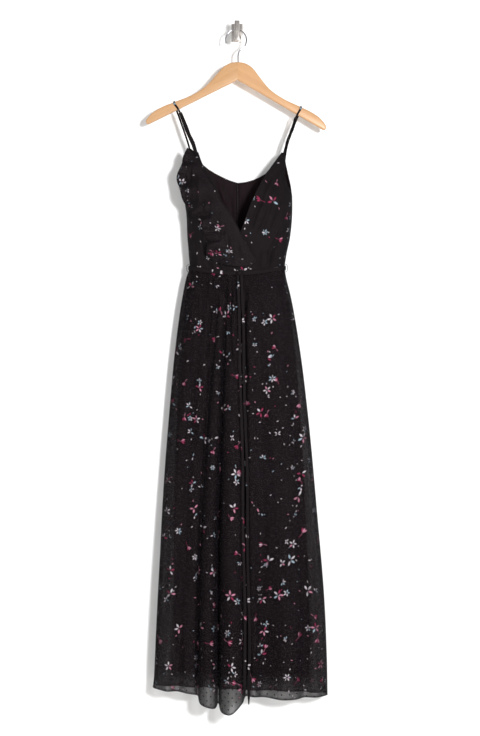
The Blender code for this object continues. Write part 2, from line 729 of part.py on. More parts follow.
def hanger(material):
    """The wooden hanger: a flat board with a crown, curved arms and rounded ends."""
    last = HANGER_TOP[-1].x
    stations = last * np.linspace(-1.0, 1.0, 37)
    outline = [(x, hanger_top_at(x)) for x in stations]
    outline += list(HANGER_TIP)
    outline += [(0.0, -HANGER_NECK_HEIGHT)]
    outline += [(-x, z) for x, z in reversed(HANGER_TIP)]
    bm = bmesh.new()
    face = bm.faces.new([bm.verts.new((x, HANGER_THICKNESS / 2, z)) for x, z in outline])
    made = bmesh.ops.extrude_face_region(bm, geom=[face])
    moved = [part for part in made["geom"] if isinstance(part, bmesh.types.BMVert)]
    bmesh.ops.translate(bm, vec=(0.0, -HANGER_THICKNESS, 0.0), verts=moved)
    bmesh.ops.recalc_face_normals(bm, faces=bm.faces[:])
    rims = [e for e in bm.edges if abs(e.verts[0].co.y - e.verts[1].co.y) < 1e-6]
    bmesh.ops.bevel(
        bm, geom=rims, offset=HANGER_EDGE, segments=2, profile=0.5, affect="EDGES", material=-1
    )
    item = place("hanger_wood", bm, material)
    item.matrix_world = hanger_frame()
    return item


def hanger_hook(material):
    """The hanger's wire hook: an arc from its tip over the post, then an S down into the wood."""
    arc = [
        HOOK_CENTRE + HOOK_RADIUS * Vector((math.cos(a), 0.0, math.sin(a)))
        for a in np.linspace(HOOK_TIP_ANGLE, HOOK_TURN_ANGLE, 22)
    ]
    stem_x = CROWN.x
    foot = CROWN.z + RELIEF
    bend = [
        Vector((stem_x + 0.0065, MIDDLE_Y, STEM_Z + 0.0155)),
        Vector((stem_x + 0.0012, MIDDLE_Y, STEM_Z + 0.0070)),
        Vector((stem_x, MIDDLE_Y, STEM_Z)),
        Vector((stem_x, MIDDLE_Y, foot)),
    ]
    line = through(np.array([[*p] for p in arc[-3:] + bend]), 3)
    points = [[*p] for p in arc[:-3]] + line.tolist()
    curve = bpy.data.curves.new("hanger_hook", "CURVE")
    curve.dimensions = "3D"
    spline = curve.splines.new("POLY")
    spline.points.add(len(points) - 1)
    for point, co in zip(spline.points, points):
        point.co = (*co, 1.0)
    curve.bevel_depth = HOOK_WIRE
    curve.bevel_resolution = 2
    curve.use_fill_caps = True
    curve.materials.append(material)
    item = bpy.data.objects.new("hanger_hook", curve)
    bpy.context.scene.collection.objects.link(item)
    return item


def wall_hook(material):
    """The wall plate, and the post with its upright bar."""
    bm = bmesh.new()
    block(bm, PLATE, (0.0, -PLATE[1] / 2, 0.0))
    front = [e for e in bm.edges if all(v.co.y < -PLATE[1] / 2 for v in e.verts)]
    bmesh.ops.bevel(
        bm, geom=front, offset=METAL_EDGE, segments=2, profile=0.5, affect="EDGES", material=-1
    )
    place("wall_plate", bm, material)
    post_back = -PLATE[1] - RELIEF
    bar = bmesh.new()
    block(bar, BAR, (0.0, BAR_Y, BAR_Z))
    bmesh.ops.bevel(
        bar,
        geom=bar.edges[:],
        offset=METAL_EDGE,
        segments=2,
        profile=0.5,
        affect="EDGES",
        material=-1,
    )
    post = bmesh.new()
    length = post_back - BAR_Y
    rod(post, POST_RADIUS, length, (0.0, (post_back + BAR_Y) / 2, POST_Z), "Y", 24)
    joined("wall_hook_arm", bar, [post], material)


def straps(material):
    """Wide front straps, and narrow straps from the back over the hanger to meet them."""
    frame = hanger_frame()
    clear = STRAP_SHELL / 2 + RELIEF + 0.0005
    front_y = MIDDLE_Y - HANGER_THICKNESS / 2 - clear
    back_y = MIDDLE_Y + HANGER_THICKNESS / 2 + clear
    for strap in STRAPS:
        before, top, after = (
            frame @ Vector((at, 0.0, hanger_top_at(at)))
            for at in (strap.hangs_at - 0.004, strap.hangs_at, strap.hangs_at + 0.004)
        )
        across = (after - before).normalized()
        inward = Vector((across.z, 0.0, -across.x))
        crown = top - inward * (clear + 0.0008)
        shoulder = crown + inward * 0.0022
        wide = [Vector(point) for point in strap.wide]
        slope = (wide[1] - wide[0]).normalized()
        end = wide[0] - slope * STRAP_GAP
        points = [
            end,
            end.lerp(Vector((shoulder.x, front_y, shoulder.z)), 0.5),
            Vector((shoulder.x, front_y, shoulder.z - 0.0030)),
            Vector((shoulder.x, front_y + 0.0022, shoulder.z + 0.0010)),
            Vector((crown.x, MIDDLE_Y, crown.z)),
            Vector((shoulder.x, back_y - 0.0022, shoulder.z + 0.0010)),
            Vector((shoulder.x, back_y, shoulder.z - 0.0030)),
            shoulder.lerp(Vector(strap.back_end), 0.30),
            Vector(strap.back_end),
        ]
        points[7].y = back_y + 0.0004
        points[1].y = front_y
        narrow = [[*point] for point in points]
        name = f"strap_narrow_{strap.side}"
        ribbon(name, narrow, across, NARROW_STRAP, STRAP_SHELL, material, 3)
        flat = Vector((-slope.z, 0.0, slope.x)).normalized()
        flat = flat * math.cos(strap.twist) + Vector((0.0, 1.0, 0.0)) * math.sin(strap.twist)
        name = f"strap_wide_{strap.side}"
        ribbon(name, strap.wide, flat, WIDE_STRAP, STRAP_SHELL, material, 3)


def zip_coil(material):
    """The zip's coil, from the neck to below the waist, between the lining's halves."""
    top = BACK_TOP[-1].z_left - ZIP_TOP_INSET
    bottom = WAIST_Z - ZIP_BELOW_WAIST
    grid = []
    for z in np.linspace(top, bottom, 16):
        y = column_at(LEVELS, "back", z) - SHELL / 2 - 1.5 * RELIEF - ZIP_THICKNESS / 2
        grid.append([(CENTRE_SEAM_X + k * ZIP_WIDTH / 2, y, z) for k in (-1, 0, 1)])
    return cloth("zip_coil", np.array(grid), ZIP_THICKNESS, material)


def pull_pivot():
    """Centre of the pull's pin, outside the back just under the neck edge."""
    z = BACK_TOP[-1].z_left - 0.010
    y = column_at(LEVELS, "back", z - SLIDER_SIZE[2]) + SHELL / 2 + RELIEF + SLIDER_SIZE[1]
    return Vector((CENTRE_SEAM_X, y + 0.0022, z))


def zip_slider(material):
    """The zip's slider: a plate outside the back seam, with two cheeks and a pin."""
    pivot = pull_pivot()
    plate_y = pivot.y - 0.0022 - SLIDER_SIZE[1] / 2
    plate = bmesh.new()
    block(plate, SLIDER_SIZE, (pivot.x, plate_y, pivot.z - 0.0010))
    cheeks = []
    for side in (-1, 1):
        cheek = bmesh.new()
        centre = (pivot.x + side * 0.0023, pivot.y - 0.0011, pivot.z)
        block(cheek, SLIDER_CHEEK, centre)
        cheeks.append(cheek)
    pin = bmesh.new()
    rod(pin, PULL_PIN_RADIUS, 0.0046, pivot, "X", 12)
    return joined("zip_slider", plate, [*cheeks, pin], material)


def zip_pull(material):
    """The zip's pull tab, with an eye round the slider's pin. It hangs straight down."""
    pivot = pull_pivot()
    eye = bmesh.new()
    rod(eye, PULL_EYE_RADIUS, 0.0022, (0.0, 0.0, 0.0), "X", 20)
    tab = bmesh.new()
    length = PULL_LENGTH - PULL_EYE_HOLE
    verts = block(
        tab,
        (PULL_WIDTH, PULL_THICKNESS, length),
        (0.0, 0.0, -PULL_EYE_HOLE - 0.0004 - length / 2),
    )
    for v in verts:
        if v.co.z > -length / 2:
            v.co.x *= 0.45
    hole = bmesh.new()
    rod(hole, PULL_EYE_HOLE, 0.0060, (0.0, 0.0, 0.0), "X", 20)
    item = joined("zip_pull", eye, [tab], material)
    cutter = place("zip_pull_hole", hole, material, smooth=False)
    cutter.hide_render = True
    cutter.display_type = "WIRE"
    cut = item.modifiers.new("hole", "BOOLEAN")
    cut.operation = "DIFFERENCE"
    cut.object = cutter
    for part in (item, cutter, bpy.data.objects["zip_pull_tool_0"]):
        part.location = pivot
    return item


def belt_loop(name, side, material):
    """A thread loop at a side seam that carries the belt."""
    column = "left" if side < 0 else "right"
    half = LOOP_HEIGHT / 2
    clear = SHELL / 2 + RELIEF + LOOP_WIRE + 0.0005
    high, middle, low = (abs(column_at(LEVELS, column, WAIST_Z + up)) for up in (half, 0.0, -half))
    outer = middle + BELT_OUT_SIDES + BELT_SHELL / 2 + RELIEF + LOOP_WIRE + 0.0012
    path = [
        (high + clear, half),
        (outer, half - 0.0025),
        (outer, -half + 0.0025),
        (low + clear, -half),
    ]
    points = [[side * x, MIDDLE_Y, WAIST_Z + z] for x, z in path]
    line = through(np.array(points), 4)
    curve = bpy.data.curves.new(name, "CURVE")
    curve.dimensions = "3D"
    spline = curve.splines.new("POLY")
    spline.points.add(len(line) - 1)
    for point, co in zip(spline.points, line):
        point.co = (*co, 1.0)
    curve.bevel_depth = LOOP_WIRE
    curve.bevel_resolution = 1
    curve.use_fill_caps = True
    curve.materials.append(material)
    item = bpy.data.objects.new(name, curve)
    bpy.context.scene.collection.objects.link(item)
    return item


def main():
    """Builds the hook, the hanger and every piece of the dress."""
    clear_scene()
    chiffon = finish_of("chiffon", (0.018, 0.016, 0.018), 0.85)
    lining = finish_of("lining", (0.020, 0.014, 0.015), 0.70)
    wood = finish_of("lacquered wood", (0.72, 0.42, 0.20), 0.38)
    wire = finish_of("polished wire", (0.75, 0.75, 0.77), 0.15, 1.0)
    nickel = finish_of("brushed nickel", (0.62, 0.58, 0.55), 0.28, 1.0)
    enamel = finish_of("black enamel", (0.015, 0.015, 0.016), 0.35)

    wall_hook(nickel)
    hanger(wood)
    hanger_hook(wire)
    straps(chiffon)

    over = front_panel(OVER_ARMHOLE, OVER_NECK, True, OVER_COLUMNS)
    cloth("bodice_front_over", over, SHELL, chiffon)
    under = front_panel(UNDER_ARMHOLE, UNDER_NECK, False, UNDER_COLUMNS)
    cloth("bodice_front_under", under, SHELL, chiffon)
    for side, name in ((-1, "left"), (1, "right")):
        back = back_panel(side, 0.0, SEAM_GAP)
        cloth(f"bodice_back_{name}", back, SHELL, chiffon)
        inner = back_panel(side, BODICE_LINING_IN, ZIP_GAP)
        cloth(f"bodice_lining_{name}", inner, LINING_SHELL, lining)
        cloth(f"skirt_back_{name}", skirt_back(side), SHELL, chiffon)
    cloth("ruffle", ruffle(), RUFFLE_SHELL, chiffon)

    front = skirt_front()
    cloth("skirt_front", front, SHELL, chiffon)
    cloth("skirt_lining_front", lining_half(-1), LINING_SHELL, lining)
    cloth("skirt_lining_back", lining_half(1), LINING_SHELL, lining)

    cloth("belt", belt(), BELT_SHELL, chiffon)
    belt_knot(chiffon)
    for tie in TIES:
        cloth(tie.name, tie_grid(tie, front), TIE_SHELL, chiffon)
    belt_loop("belt_loop_left", -1, chiffon)
    belt_loop("belt_loop_right", 1, chiffon)

    zip_coil(enamel)
    zip_slider(enamel)
    zip_pull(enamel)


main()
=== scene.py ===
"""Looks of a wrap-front maxi dress that hangs on a wooden hanger from a wall hook.

Metres, +Z up, +Y into the wall, +X to the right of someone who looks at the dress.
"""

import json
import logging
import math
from dataclasses import dataclass
from enum import Enum

import bmesh
import bpy
import numpy as np
from mathutils import Matrix, Vector

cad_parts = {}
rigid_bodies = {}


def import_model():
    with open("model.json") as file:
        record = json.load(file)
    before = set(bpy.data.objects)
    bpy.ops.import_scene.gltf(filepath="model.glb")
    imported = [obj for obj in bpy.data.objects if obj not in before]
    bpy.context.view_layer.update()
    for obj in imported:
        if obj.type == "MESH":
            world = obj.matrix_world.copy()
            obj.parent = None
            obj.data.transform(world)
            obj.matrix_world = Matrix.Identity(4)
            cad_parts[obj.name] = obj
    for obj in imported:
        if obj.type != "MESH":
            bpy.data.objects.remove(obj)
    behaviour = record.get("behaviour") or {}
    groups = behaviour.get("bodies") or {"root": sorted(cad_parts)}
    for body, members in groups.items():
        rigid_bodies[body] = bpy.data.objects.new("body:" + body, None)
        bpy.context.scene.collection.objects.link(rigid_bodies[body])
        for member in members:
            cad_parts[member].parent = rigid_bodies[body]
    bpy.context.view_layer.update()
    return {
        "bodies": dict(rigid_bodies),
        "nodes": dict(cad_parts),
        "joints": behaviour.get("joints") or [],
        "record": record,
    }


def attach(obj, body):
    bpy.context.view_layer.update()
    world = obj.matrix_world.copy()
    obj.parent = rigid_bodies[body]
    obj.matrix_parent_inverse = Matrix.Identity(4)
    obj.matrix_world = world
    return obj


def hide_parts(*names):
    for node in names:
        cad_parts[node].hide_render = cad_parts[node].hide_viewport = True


LOG = logging.getLogger("maxi_dress")
CLOTH_MAP = "cut"

MIDDLE_Y = -0.045
WAIST_Z = -0.576
HEM_Z = -1.589
LINING_HEM_Z = -1.549
UNDERARM_Z = -0.403
RELIEF = 0.0003
SEAM_GAP = 0.0002
CENTRE_SEAM_X = 0.0012
TAU = 2.0 * math.pi
MERGE = 1e-6
HEM_LEAN = 0.0457
LINING_SHELL = 0.0006
FRONT_BINDING = 0.0008
BACK_BINDING = 0.0007
SEAM_ROLL = 0.0007
SIDE_SEAM = 0.0006
FLOUNCE_HEM = 0.00075
FRONT_HEM = 0.00095
BACK_HEM = 0.00085
LINING_HEM = 0.0006
TACK = 0.00028


class Body(Enum):
    """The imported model's body that this script's own pieces ride on."""

    DRESS = "dress_on_hanger"


class Slot(Enum):
    """The record's material slots."""

    CHIFFON = "chiffon"
    LINING = "lining"
    WOOD = "lacquered_wood"
    WIRE = "polished_wire"
    NICKEL = "brushed_nickel"
    ENAMEL = "black_enamel"


class Face(Enum):
    """The two halves of the dress's tube. The value is the sign of Y from its middle."""

    FRONT = -1
    BACK = 1


class Side(Enum):
    """Left and right of someone who looks at the dress. The value is the sign of X."""

    LEFT = -1
    RIGHT = 1

    @property
    def word(self) -> str:
        """The side as names of pieces have it.

        Returns:
            The word left or right.
        """
        return self.name.lower()


@dataclass(frozen=True)
class Level:
    """One height of the tube that the dress hangs in: its side edges and its depth."""

    z: float
    left: float
    right: float
    front: float
    back: float


@dataclass(frozen=True)
class Fold:
    """A fold line of the skirt's front: its place and height at waist, middle and hem."""

    x_waist: float
    x_mid: float
    x_hem: float
    out_waist: float
    out_mid: float
    out_hem: float
    drop: float


@dataclass(frozen=True)
class Crease:
    """A soft ridge, or a trough if its rise is negative, between two places on a cloth."""

    x_top: float
    z_top: float
    x_low: float
    z_low: float
    width: float
    rise: float


@dataclass(frozen=True)
class Edge:
    """A point of a bodice panel's edge."""

    z: float
    x: float


@dataclass(frozen=True)
class TopEdge:
    """The back's top edge, by its share of the way from side seam to centre seam."""

    share: float
    z_left: float
    z_right: float


@dataclass(frozen=True)
class Flounce:
    """A place along the ruffle: its seam, and its free edge when it lies flat."""

    share: float
    seam_x: float
    seam_z: float
    edge_x: float
    edge_z: float


@dataclass(frozen=True)
class Tie:
    """A hanging end of the belt."""

    name: str
    x_top: float
    x_mid: float
    x_end: float
    z_end: float
    sway: float


@dataclass(frozen=True)
class Strap:
    """A shoulder strap: its wide front part, and where its narrow part goes."""

    side: Side
    hangs_at: float
    wide: tuple[tuple[float, float, float], ...]
    twist: float
    back_end: tuple[float, float, float]


def linear(hex_code: str) -> tuple[float, float, float, float]:
    """Turns an sRGB colour such as "#20191C" to linear light.

    Args:
        hex_code: The colour's six digits after a hash.

    Returns:
        Red, green, blue and an alpha of 1.
    """
    parts = [int(hex_code[i : i + 2], 16) / 255 for i in (1, 3, 5)]
    light = [c / 12.92 if c <= 0.04045 else ((c + 0.055) / 1.055) ** 2.4 for c in parts]
    return (light[0], light[1], light[2], 1.0)


def add_node(
    tree: bpy.types.NodeTree, kind: str, inputs: dict | None = None, **settings: object
) -> bpy.types.Node:
    """Adds a node with its settings, values and links.

    Args:
        tree: The node tree it goes into.
        kind: The node's type, without the "ShaderNode" in front.
        inputs: For each input, by name or number, a value, an output that feeds it, or a
            node whose first output in use feeds it.
        settings: The node's own properties.

    Returns:
        The new node.
    """
    made = tree.nodes.new("ShaderNode" + kind)
    for name, value in settings.items():
        setattr(made, name, value)
    for name, value in (inputs or {}).items():
        if isinstance(value, bpy.types.Node):
            value = next(output for output in value.outputs if output.enabled)
        if isinstance(value, bpy.types.NodeSocket):
            tree.links.new(made.inputs[name], value)
        else:
            made.inputs[name].default_value = value
    return made


def new_material(name: str) -> tuple[bpy.types.Material, bpy.types.NodeTree]:
    """Makes a material with an empty node tree.

    Args:
        name: The material's name.

    Returns:
        The material and its node tree.
    """
    material = bpy.data.materials.new(name)
    material.use_nodes = True
    material.node_tree.nodes.clear()
    return material, material.node_tree


@dataclass(frozen=True)
class Motif:
    """A printed shape that is scattered over the cloth. Sizes are in millimetres.

    Its petals stand round a centre, all round or in a fan. Beside moves it off its cell's
    centre by a multiple of its reach, so that it stands next to another motif of that cell.
    """

    spacing: float
    reach: float
    petals: int
    half_fan: int
    slimness: float
    share: float
    missing: float
    start: tuple[float, float, float]
    beside: float
    tints: tuple[tuple[float, str], ...]
    stem: float = 0.0


# Tints of the print: chalk white, pale pink, raspberry and pale blue.
CHALK, PINK, RASPBERRY, SKY = "#B4ADB3", "#AE7488", "#7C2543", "#8A9DA9"
MIXED = ((0.0, CHALK), (0.50, PINK), (0.68, RASPBERRY), (0.84, SKY))
WARM = ((0.0, RASPBERRY), (0.45, PINK), (0.75, RASPBERRY), (0.9, CHALK))
COOL = ((0.0, CHALK), (0.55, SKY), (0.80, CHALK), (0.92, PINK))
MOTIFS = (
    Motif(74.0, 12.5, 5, 9, 0.17, 0.78, 0.18, (11.0, 47.0, 0.0), 0.0, MIXED),
    Motif(74.0, 8.0, 5, 9, 0.18, 0.42, 0.25, (11.0, 47.0, 0.0), 2.3, COOL),
    Motif(74.0, 6.5, 1, 9, 0.15, 0.58, 0.0, (11.0, 47.0, 0.0), -3.4, MIXED),
    Motif(81.0, 12.0, 13, 1, 0.13, 0.64, 0.0, (300.0, 120.0, 0.0), 0.0, WARM, 0.9),
    Motif(59.0, 8.0, 6, 9, 0.16, 0.44, 0.34, (70.0, 510.0, 0.0), 0.0, COOL),
    Motif(59.0, 5.2, 1, 9, 0.19, 0.55, 0.0, (70.0, 510.0, 0.0), 2.6, MIXED),
    Motif(43.0, 6.8, 1, 9, 0.15, 0.38, 0.0, (640.0, 230.0, 0.0), 0.0, MIXED),
    Motif(31.0, 4.0, 1, 9, 0.22, 0.22, 0.0, (150.0, 840.0, 0.0), 0.0, COOL),
)
CELL_SCATTER = 0.62


@dataclass(frozen=True)
class PrintedChiffon:
    """Polyester crepe chiffon: thin crinkled cloth, woven with pin dots and printed.

    Hard-twisted threads give it a matt, grainy face, and light comes through where it is
    not lined. Cover is how much each of the shell's two faces hides, and spot cover is that
    of the print and the dots. Light has a longer way through cloth seen at a slant, and there
    its colour is darkened too, as painted shade that makes the folds show. Lengths are in
    millimetres, and the petals' sizes are shares of a motif's.
    """

    name: str
    cover: float
    dark: str = "#120D0F"
    pale: str = "#1E181B"
    dot_spacing: float = 13.4
    dot_radius: float = 1.5
    crinkle: float = 1.6
    least_size: float = 0.78
    most_size: float = 1.18
    petal_middle: float = 0.56
    petal_half: float = 0.44
    print_blur: float = 2.2
    stem_bow: float = -0.30
    heart: tuple[float, float, float, float] = (0.06, 0.03, 0.04, 1.0)
    # Near-black that the colour is mixed toward at a slant: painted shade on the folds.
    slant: tuple[float, float, float, float] = (0.002, 0.001, 0.002, 1.0)
    spot_cover: float = 0.93
    slant_path: float = 3.2

    def scatter(
        self, tree: bpy.types.NodeTree, place: bpy.types.Node, motif: Motif
    ) -> tuple[bpy.types.Node, bpy.types.Node]:
        """Draws one motif over the whole cloth.

        Args:
            tree: The material's node tree.
            place: The node that gives the place on the cloth, in millimetres.
            motif: The motif to draw.

        Returns:
            The nodes that give its mask and its colour.
        """
        moved = add_node(tree, "VectorMath", {0: place, 1: motif.start}, operation="ADD")
        cells = add_node(
            tree,
            "TexVoronoi",
            {0: moved, "Scale": 1 / motif.spacing, "Randomness": CELL_SCATTER},
            voronoi_dimensions="2D",
        )
        local = add_node(
            tree, "VectorMath", {0: moved, 1: cells.outputs["Position"]}, operation="SUBTRACT"
        )
        dice = add_node(tree, "SeparateColor", {0: cells.outputs["Color"]})
        angle = add_node(tree, "Math", {0: dice, 1: TAU}, operation="MULTIPLY")
        turned = add_node(tree, "VectorRotate", {"Vector": local, "Angle": angle}, rotation_type="Z_AXIS")
        grown = add_node(
            tree,
            "MapRange",
            {0: dice.outputs[1], 3: self.least_size * motif.reach, 4: self.most_size * motif.reach},
        )
        unit = add_node(tree, "VectorMath", {0: turned, 1: grown}, operation="DIVIDE")
        aside = add_node(
            tree,
            "VectorMath",
            {0: unit, 1: (motif.beside, 0.25 * motif.beside, 0.0)},
            operation="SUBTRACT",
        )
        flat = add_node(tree, "VectorMath", {0: aside, 1: (1, 1, 0)}, operation="MULTIPLY")
        radius = add_node(tree, "VectorMath", {0: flat}, operation="LENGTH")
        axes = add_node(tree, "SeparateXYZ", {0: flat})
        heading = add_node(tree, "Math", {0: axes.outputs[1], 1: axes}, operation="ARCTAN2")
        turn = add_node(tree, "Math", {0: heading, 1: motif.petals / TAU}, operation="MULTIPLY")
        number = add_node(tree, "Math", {0: turn}, operation="ROUND")
        within = add_node(tree, "Math", {0: turn, 1: number}, operation="SUBTRACT")
        bend = add_node(tree, "Math", {0: within, 1: TAU / motif.petals}, operation="MULTIPLY")
        cosine = add_node(tree, "Math", {0: bend}, operation="COSINE")
        sine = add_node(tree, "Math", {0: bend}, operation="SINE")
        along = add_node(tree, "Math", {0: radius, 1: cosine}, operation="MULTIPLY")
        off = add_node(tree, "Math", {0: radius, 1: sine}, operation="MULTIPLY")
        centred = add_node(
            tree,
            "Math",
            {0: along, 1: 1 / self.petal_half, 2: -self.petal_middle / self.petal_half},
            operation="MULTIPLY_ADD",
        )
        long = add_node(tree, "Math", {0: centred, 1: centred}, operation="MULTIPLY")
        wide = add_node(tree, "Math", {0: off}, operation="ABSOLUTE")
        lens = add_node(tree, "Math", {0: wide, 1: 1 / motif.slimness, 2: long}, operation="MULTIPLY_ADD")
        soft = self.print_blur / motif.reach
        petal = add_node(tree, "MapRange", {0: lens, 1: 1 - soft, 2: 1 + soft, 3: 1.0, 4: 0.0})
        key = add_node(tree, "CombineXYZ", {0: number, 1: dice, 2: dice.outputs[1]})
        luck = add_node(tree, "TexWhiteNoise", {"Vector": key}, noise_dimensions="3D")
        there = add_node(tree, "Math", {0: luck, 1: motif.missing}, operation="GREATER_THAN")
        step = add_node(tree, "Math", {0: number}, operation="ABSOLUTE")
        fan = add_node(tree, "Math", {0: step, 1: motif.half_fan + 0.5}, operation="LESS_THAN")
        picked = add_node(tree, "Math", {0: dice.outputs[2], 1: motif.share}, operation="LESS_THAN")
        mask = add_node(tree, "Math", {0: petal, 1: there}, operation="MULTIPLY")
        mask = add_node(tree, "Math", {0: mask, 1: fan}, operation="MULTIPLY")
        if motif.stem:
            curve = add_node(tree, "Math", {0: axes, 1: axes}, operation="MULTIPLY")
            line = add_node(
                tree, "Math", {0: curve, 1: self.stem_bow, 2: axes.outputs[1]}, operation="MULTIPLY_ADD"
            )
            line = add_node(tree, "Math", {0: line}, operation="ABSOLUTE")
            thin = add_node(tree, "MapRange", {0: line, 1: 0.03, 2: 0.11, 3: 0.8, 4: 0.0})
            middle = add_node(tree, "Math", {0: axes, 1: motif.stem / 2 - 0.1}, operation="ADD")
            reach = add_node(tree, "Math", {0: middle}, operation="ABSOLUTE")
            short = add_node(tree, "Math", {0: reach, 1: motif.stem / 2}, operation="LESS_THAN")
            stem = add_node(tree, "Math", {0: thin, 1: short}, operation="MULTIPLY")
            mask = add_node(tree, "Math", {0: mask, 1: stem}, operation="MAXIMUM")
        mask = add_node(tree, "Math", {0: mask, 1: picked}, operation="MULTIPLY")
        tint = add_node(tree, "ValToRGB", {0: luck.outputs["Color"]})
        tint.color_ramp.interpolation = "CONSTANT"
        while len(tint.color_ramp.elements) < len(motif.tints):
            tint.color_ramp.elements.new(0.99)
        for stop, (at, code) in zip(tint.color_ramp.elements, motif.tints):
            stop.position = at
            stop.color = linear(code)
        base = add_node(tree, "MapRange", {0: radius, 1: 0.1, 2: 0.6, 3: 0.45, 4: 1.0})
        shaded = add_node(tree, "Mix", {0: base, 6: self.heart, 7: tint}, data_type="RGBA")
        return mask, shaded

    def build(self) -> bpy.types.Material:
        """Makes the cloth's material.

        Returns:
            The material.
        """
        material, tree = new_material(self.name)
        uv = add_node(tree, "UVMap", uv_map=CLOTH_MAP)
        place = add_node(tree, "VectorMath", {0: uv, "Scale": 1000.0}, operation="SCALE")
        crepe = add_node(
            tree,
            "TexNoise",
            {"Vector": place, "Scale": 1 / self.crinkle, "Detail": 2.0},
            noise_dimensions="2D",
        )
        colour = add_node(
            tree, "Mix", {0: crepe, 6: linear(self.dark), 7: linear(self.pale)}, data_type="RGBA"
        )
        printed = None
        for motif in MOTIFS:
            mask, tint = self.scatter(tree, place, motif)
            colour = add_node(tree, "Mix", {0: mask, 6: colour, 7: tint}, data_type="RGBA")
            if printed is None:
                printed = mask
            else:
                printed = add_node(tree, "Math", {0: printed, 1: mask}, operation="MAXIMUM")
        diagonal = add_node(
            tree, "VectorRotate", {"Vector": place, "Angle": math.pi / 4}, rotation_type="Z_AXIS"
        )
        grid = add_node(
            tree,
            "TexVoronoi",
            {0: diagonal, "Scale": 1 / self.dot_spacing, "Randomness": 0.0},
            voronoi_dimensions="2D",
        )
        edge = self.dot_radius / self.dot_spacing
        dot = add_node(
            tree, "MapRange", {0: grid.outputs["Distance"], 1: 0.7 * edge, 2: 1.3 * edge, 3: 1.0, 4: 0.0}
        )
        hidden = add_node(tree, "Math", {0: printed, 1: dot}, operation="MAXIMUM")
        grain = add_node(
            tree,
            "MapRange",
            {0: crepe, 1: 0.3, 2: 0.7, 3: 0.95 * self.cover, 4: min(1.0, 1.05 * self.cover)},
        )
        alpha = add_node(tree, "MapRange", {0: hidden, 3: grain, 4: max(self.cover, self.spot_cover)})
        slant = add_node(tree, "LayerWeight", {"Blend": 0.5})
        path = add_node(
            tree, "MapRange", {0: slant.outputs["Facing"], 1: 0.0, 2: 0.8, 3: 1.0, 4: self.slant_path}
        )
        open_share = add_node(tree, "Math", {0: 1.0, 1: alpha}, operation="SUBTRACT")
        through = add_node(tree, "Math", {0: open_share, 1: path}, operation="POWER")
        alpha = add_node(tree, "Math", {0: 1.0, 1: through}, operation="SUBTRACT")
        bump = add_node(tree, "Bump", {"Height": crepe, "Strength": 0.12, "Distance": 0.0003})
        # Painted shade: the colour is mixed toward near-black where the cloth is seen at a slant, so that
        # folds look darker.
        painted_slant_shade = add_node(tree, "LayerWeight", {"Blend": 0.82})
        shaded = add_node(
            tree, "Mix", {0: painted_slant_shade.outputs["Facing"], 6: colour, 7: self.slant}, data_type="RGBA"
        )
        shader = add_node(
            tree,
            "BsdfPrincipled",
            {
                "Base Color": shaded,
                "Roughness": 0.82,
                "Specular IOR Level": 0.11,
                "Sheen Weight": 0.035,
                "Sheen Roughness": 0.5,
                "Sheen Tint": linear("#8F8A92"),
                "Normal": bump,
            },
        )
        if self.cover < 1.0:
            tree.links.new(shader.inputs["Alpha"], alpha.outputs[0])
        add_node(tree, "OutputMaterial", {0: shader})
        return material


@dataclass(frozen=True)
class LiningCloth:
    """Plain woven polyester lining: smooth, dull and brownish black."""

    name: str = "Woven polyester lining"

    def build(self) -> bpy.types.Material:
        """Makes the lining's material.

        Returns:
            The material.
        """
        material, tree = new_material(self.name)
        uv = add_node(tree, "UVMap", uv_map=CLOTH_MAP)
        threads = add_node(tree, "TexNoise", {"Vector": uv, "Scale": 900.0, "Detail": 1.0})
        streaks = add_node(tree, "Mapping", {"Vector": uv, "Scale": (160.0, 9.0, 1.0)})
        slub = add_node(tree, "TexNoise", {"Vector": streaks, "Scale": 1.0, "Detail": 3.0})
        both = add_node(tree, "Math", {0: threads, 1: slub}, operation="ADD")
        share = add_node(tree, "MapRange", {0: both, 1: 0.6, 2: 1.4})
        colour = add_node(
            tree, "Mix", {0: share, 6: linear("#150E0F"), 7: linear("#21171A")}, data_type="RGBA"
        )
        bump = add_node(tree, "Bump", {"Height": both, "Strength": 0.2, "Distance": 0.0003})
        shader = add_node(
            tree,
            "BsdfPrincipled",
            {
                "Base Color": colour,
                "Roughness": 0.62,
                "Specular IOR Level": 0.04,
                "Sheen Weight": 0.0,
                "Normal": bump,
            },
        )
        add_node(tree, "OutputMaterial", {0: shader})
        return material


@dataclass(frozen=True)
class SewnCloth:
    """Folded and stitched black chiffon, as in rolled hems, or thread. It is opaque."""

    name: str
    dark: str
    pale: str
    pitch: float
    roughness: float

    def build(self) -> bpy.types.Material:
        """Makes the material, with a fine slanted twist on object coordinates.

        Returns:
            The material.
        """
        material, tree = new_material(self.name)
        place = add_node(tree, "TexCoord")
        twist = add_node(
            tree,
            "TexWave",
            {"Vector": place.outputs["Object"], "Scale": 0.314 / self.pitch, "Distortion": 1.5},
            bands_direction="DIAGONAL",
        )
        fuzz = add_node(tree, "TexNoise", {"Vector": place.outputs["Object"], "Scale": 700.0})
        both = add_node(tree, "Math", {0: twist.outputs[1], 1: fuzz}, operation="MULTIPLY")
        colour = add_node(
            tree, "Mix", {0: both, 6: linear(self.dark), 7: linear(self.pale)}, data_type="RGBA"
        )
        bump = add_node(tree, "Bump", {"Height": both, "Strength": 0.4, "Distance": 0.0003})
        shader = add_node(
            tree,
            "BsdfPrincipled",
            {
                "Base Color": colour,
                "Roughness": self.roughness,
                "Specular IOR Level": 0.12,
                "Sheen Weight": 0.03,
                "Normal": bump,
            },
        )
        add_node(tree, "OutputMaterial", {0: shader})
        return material


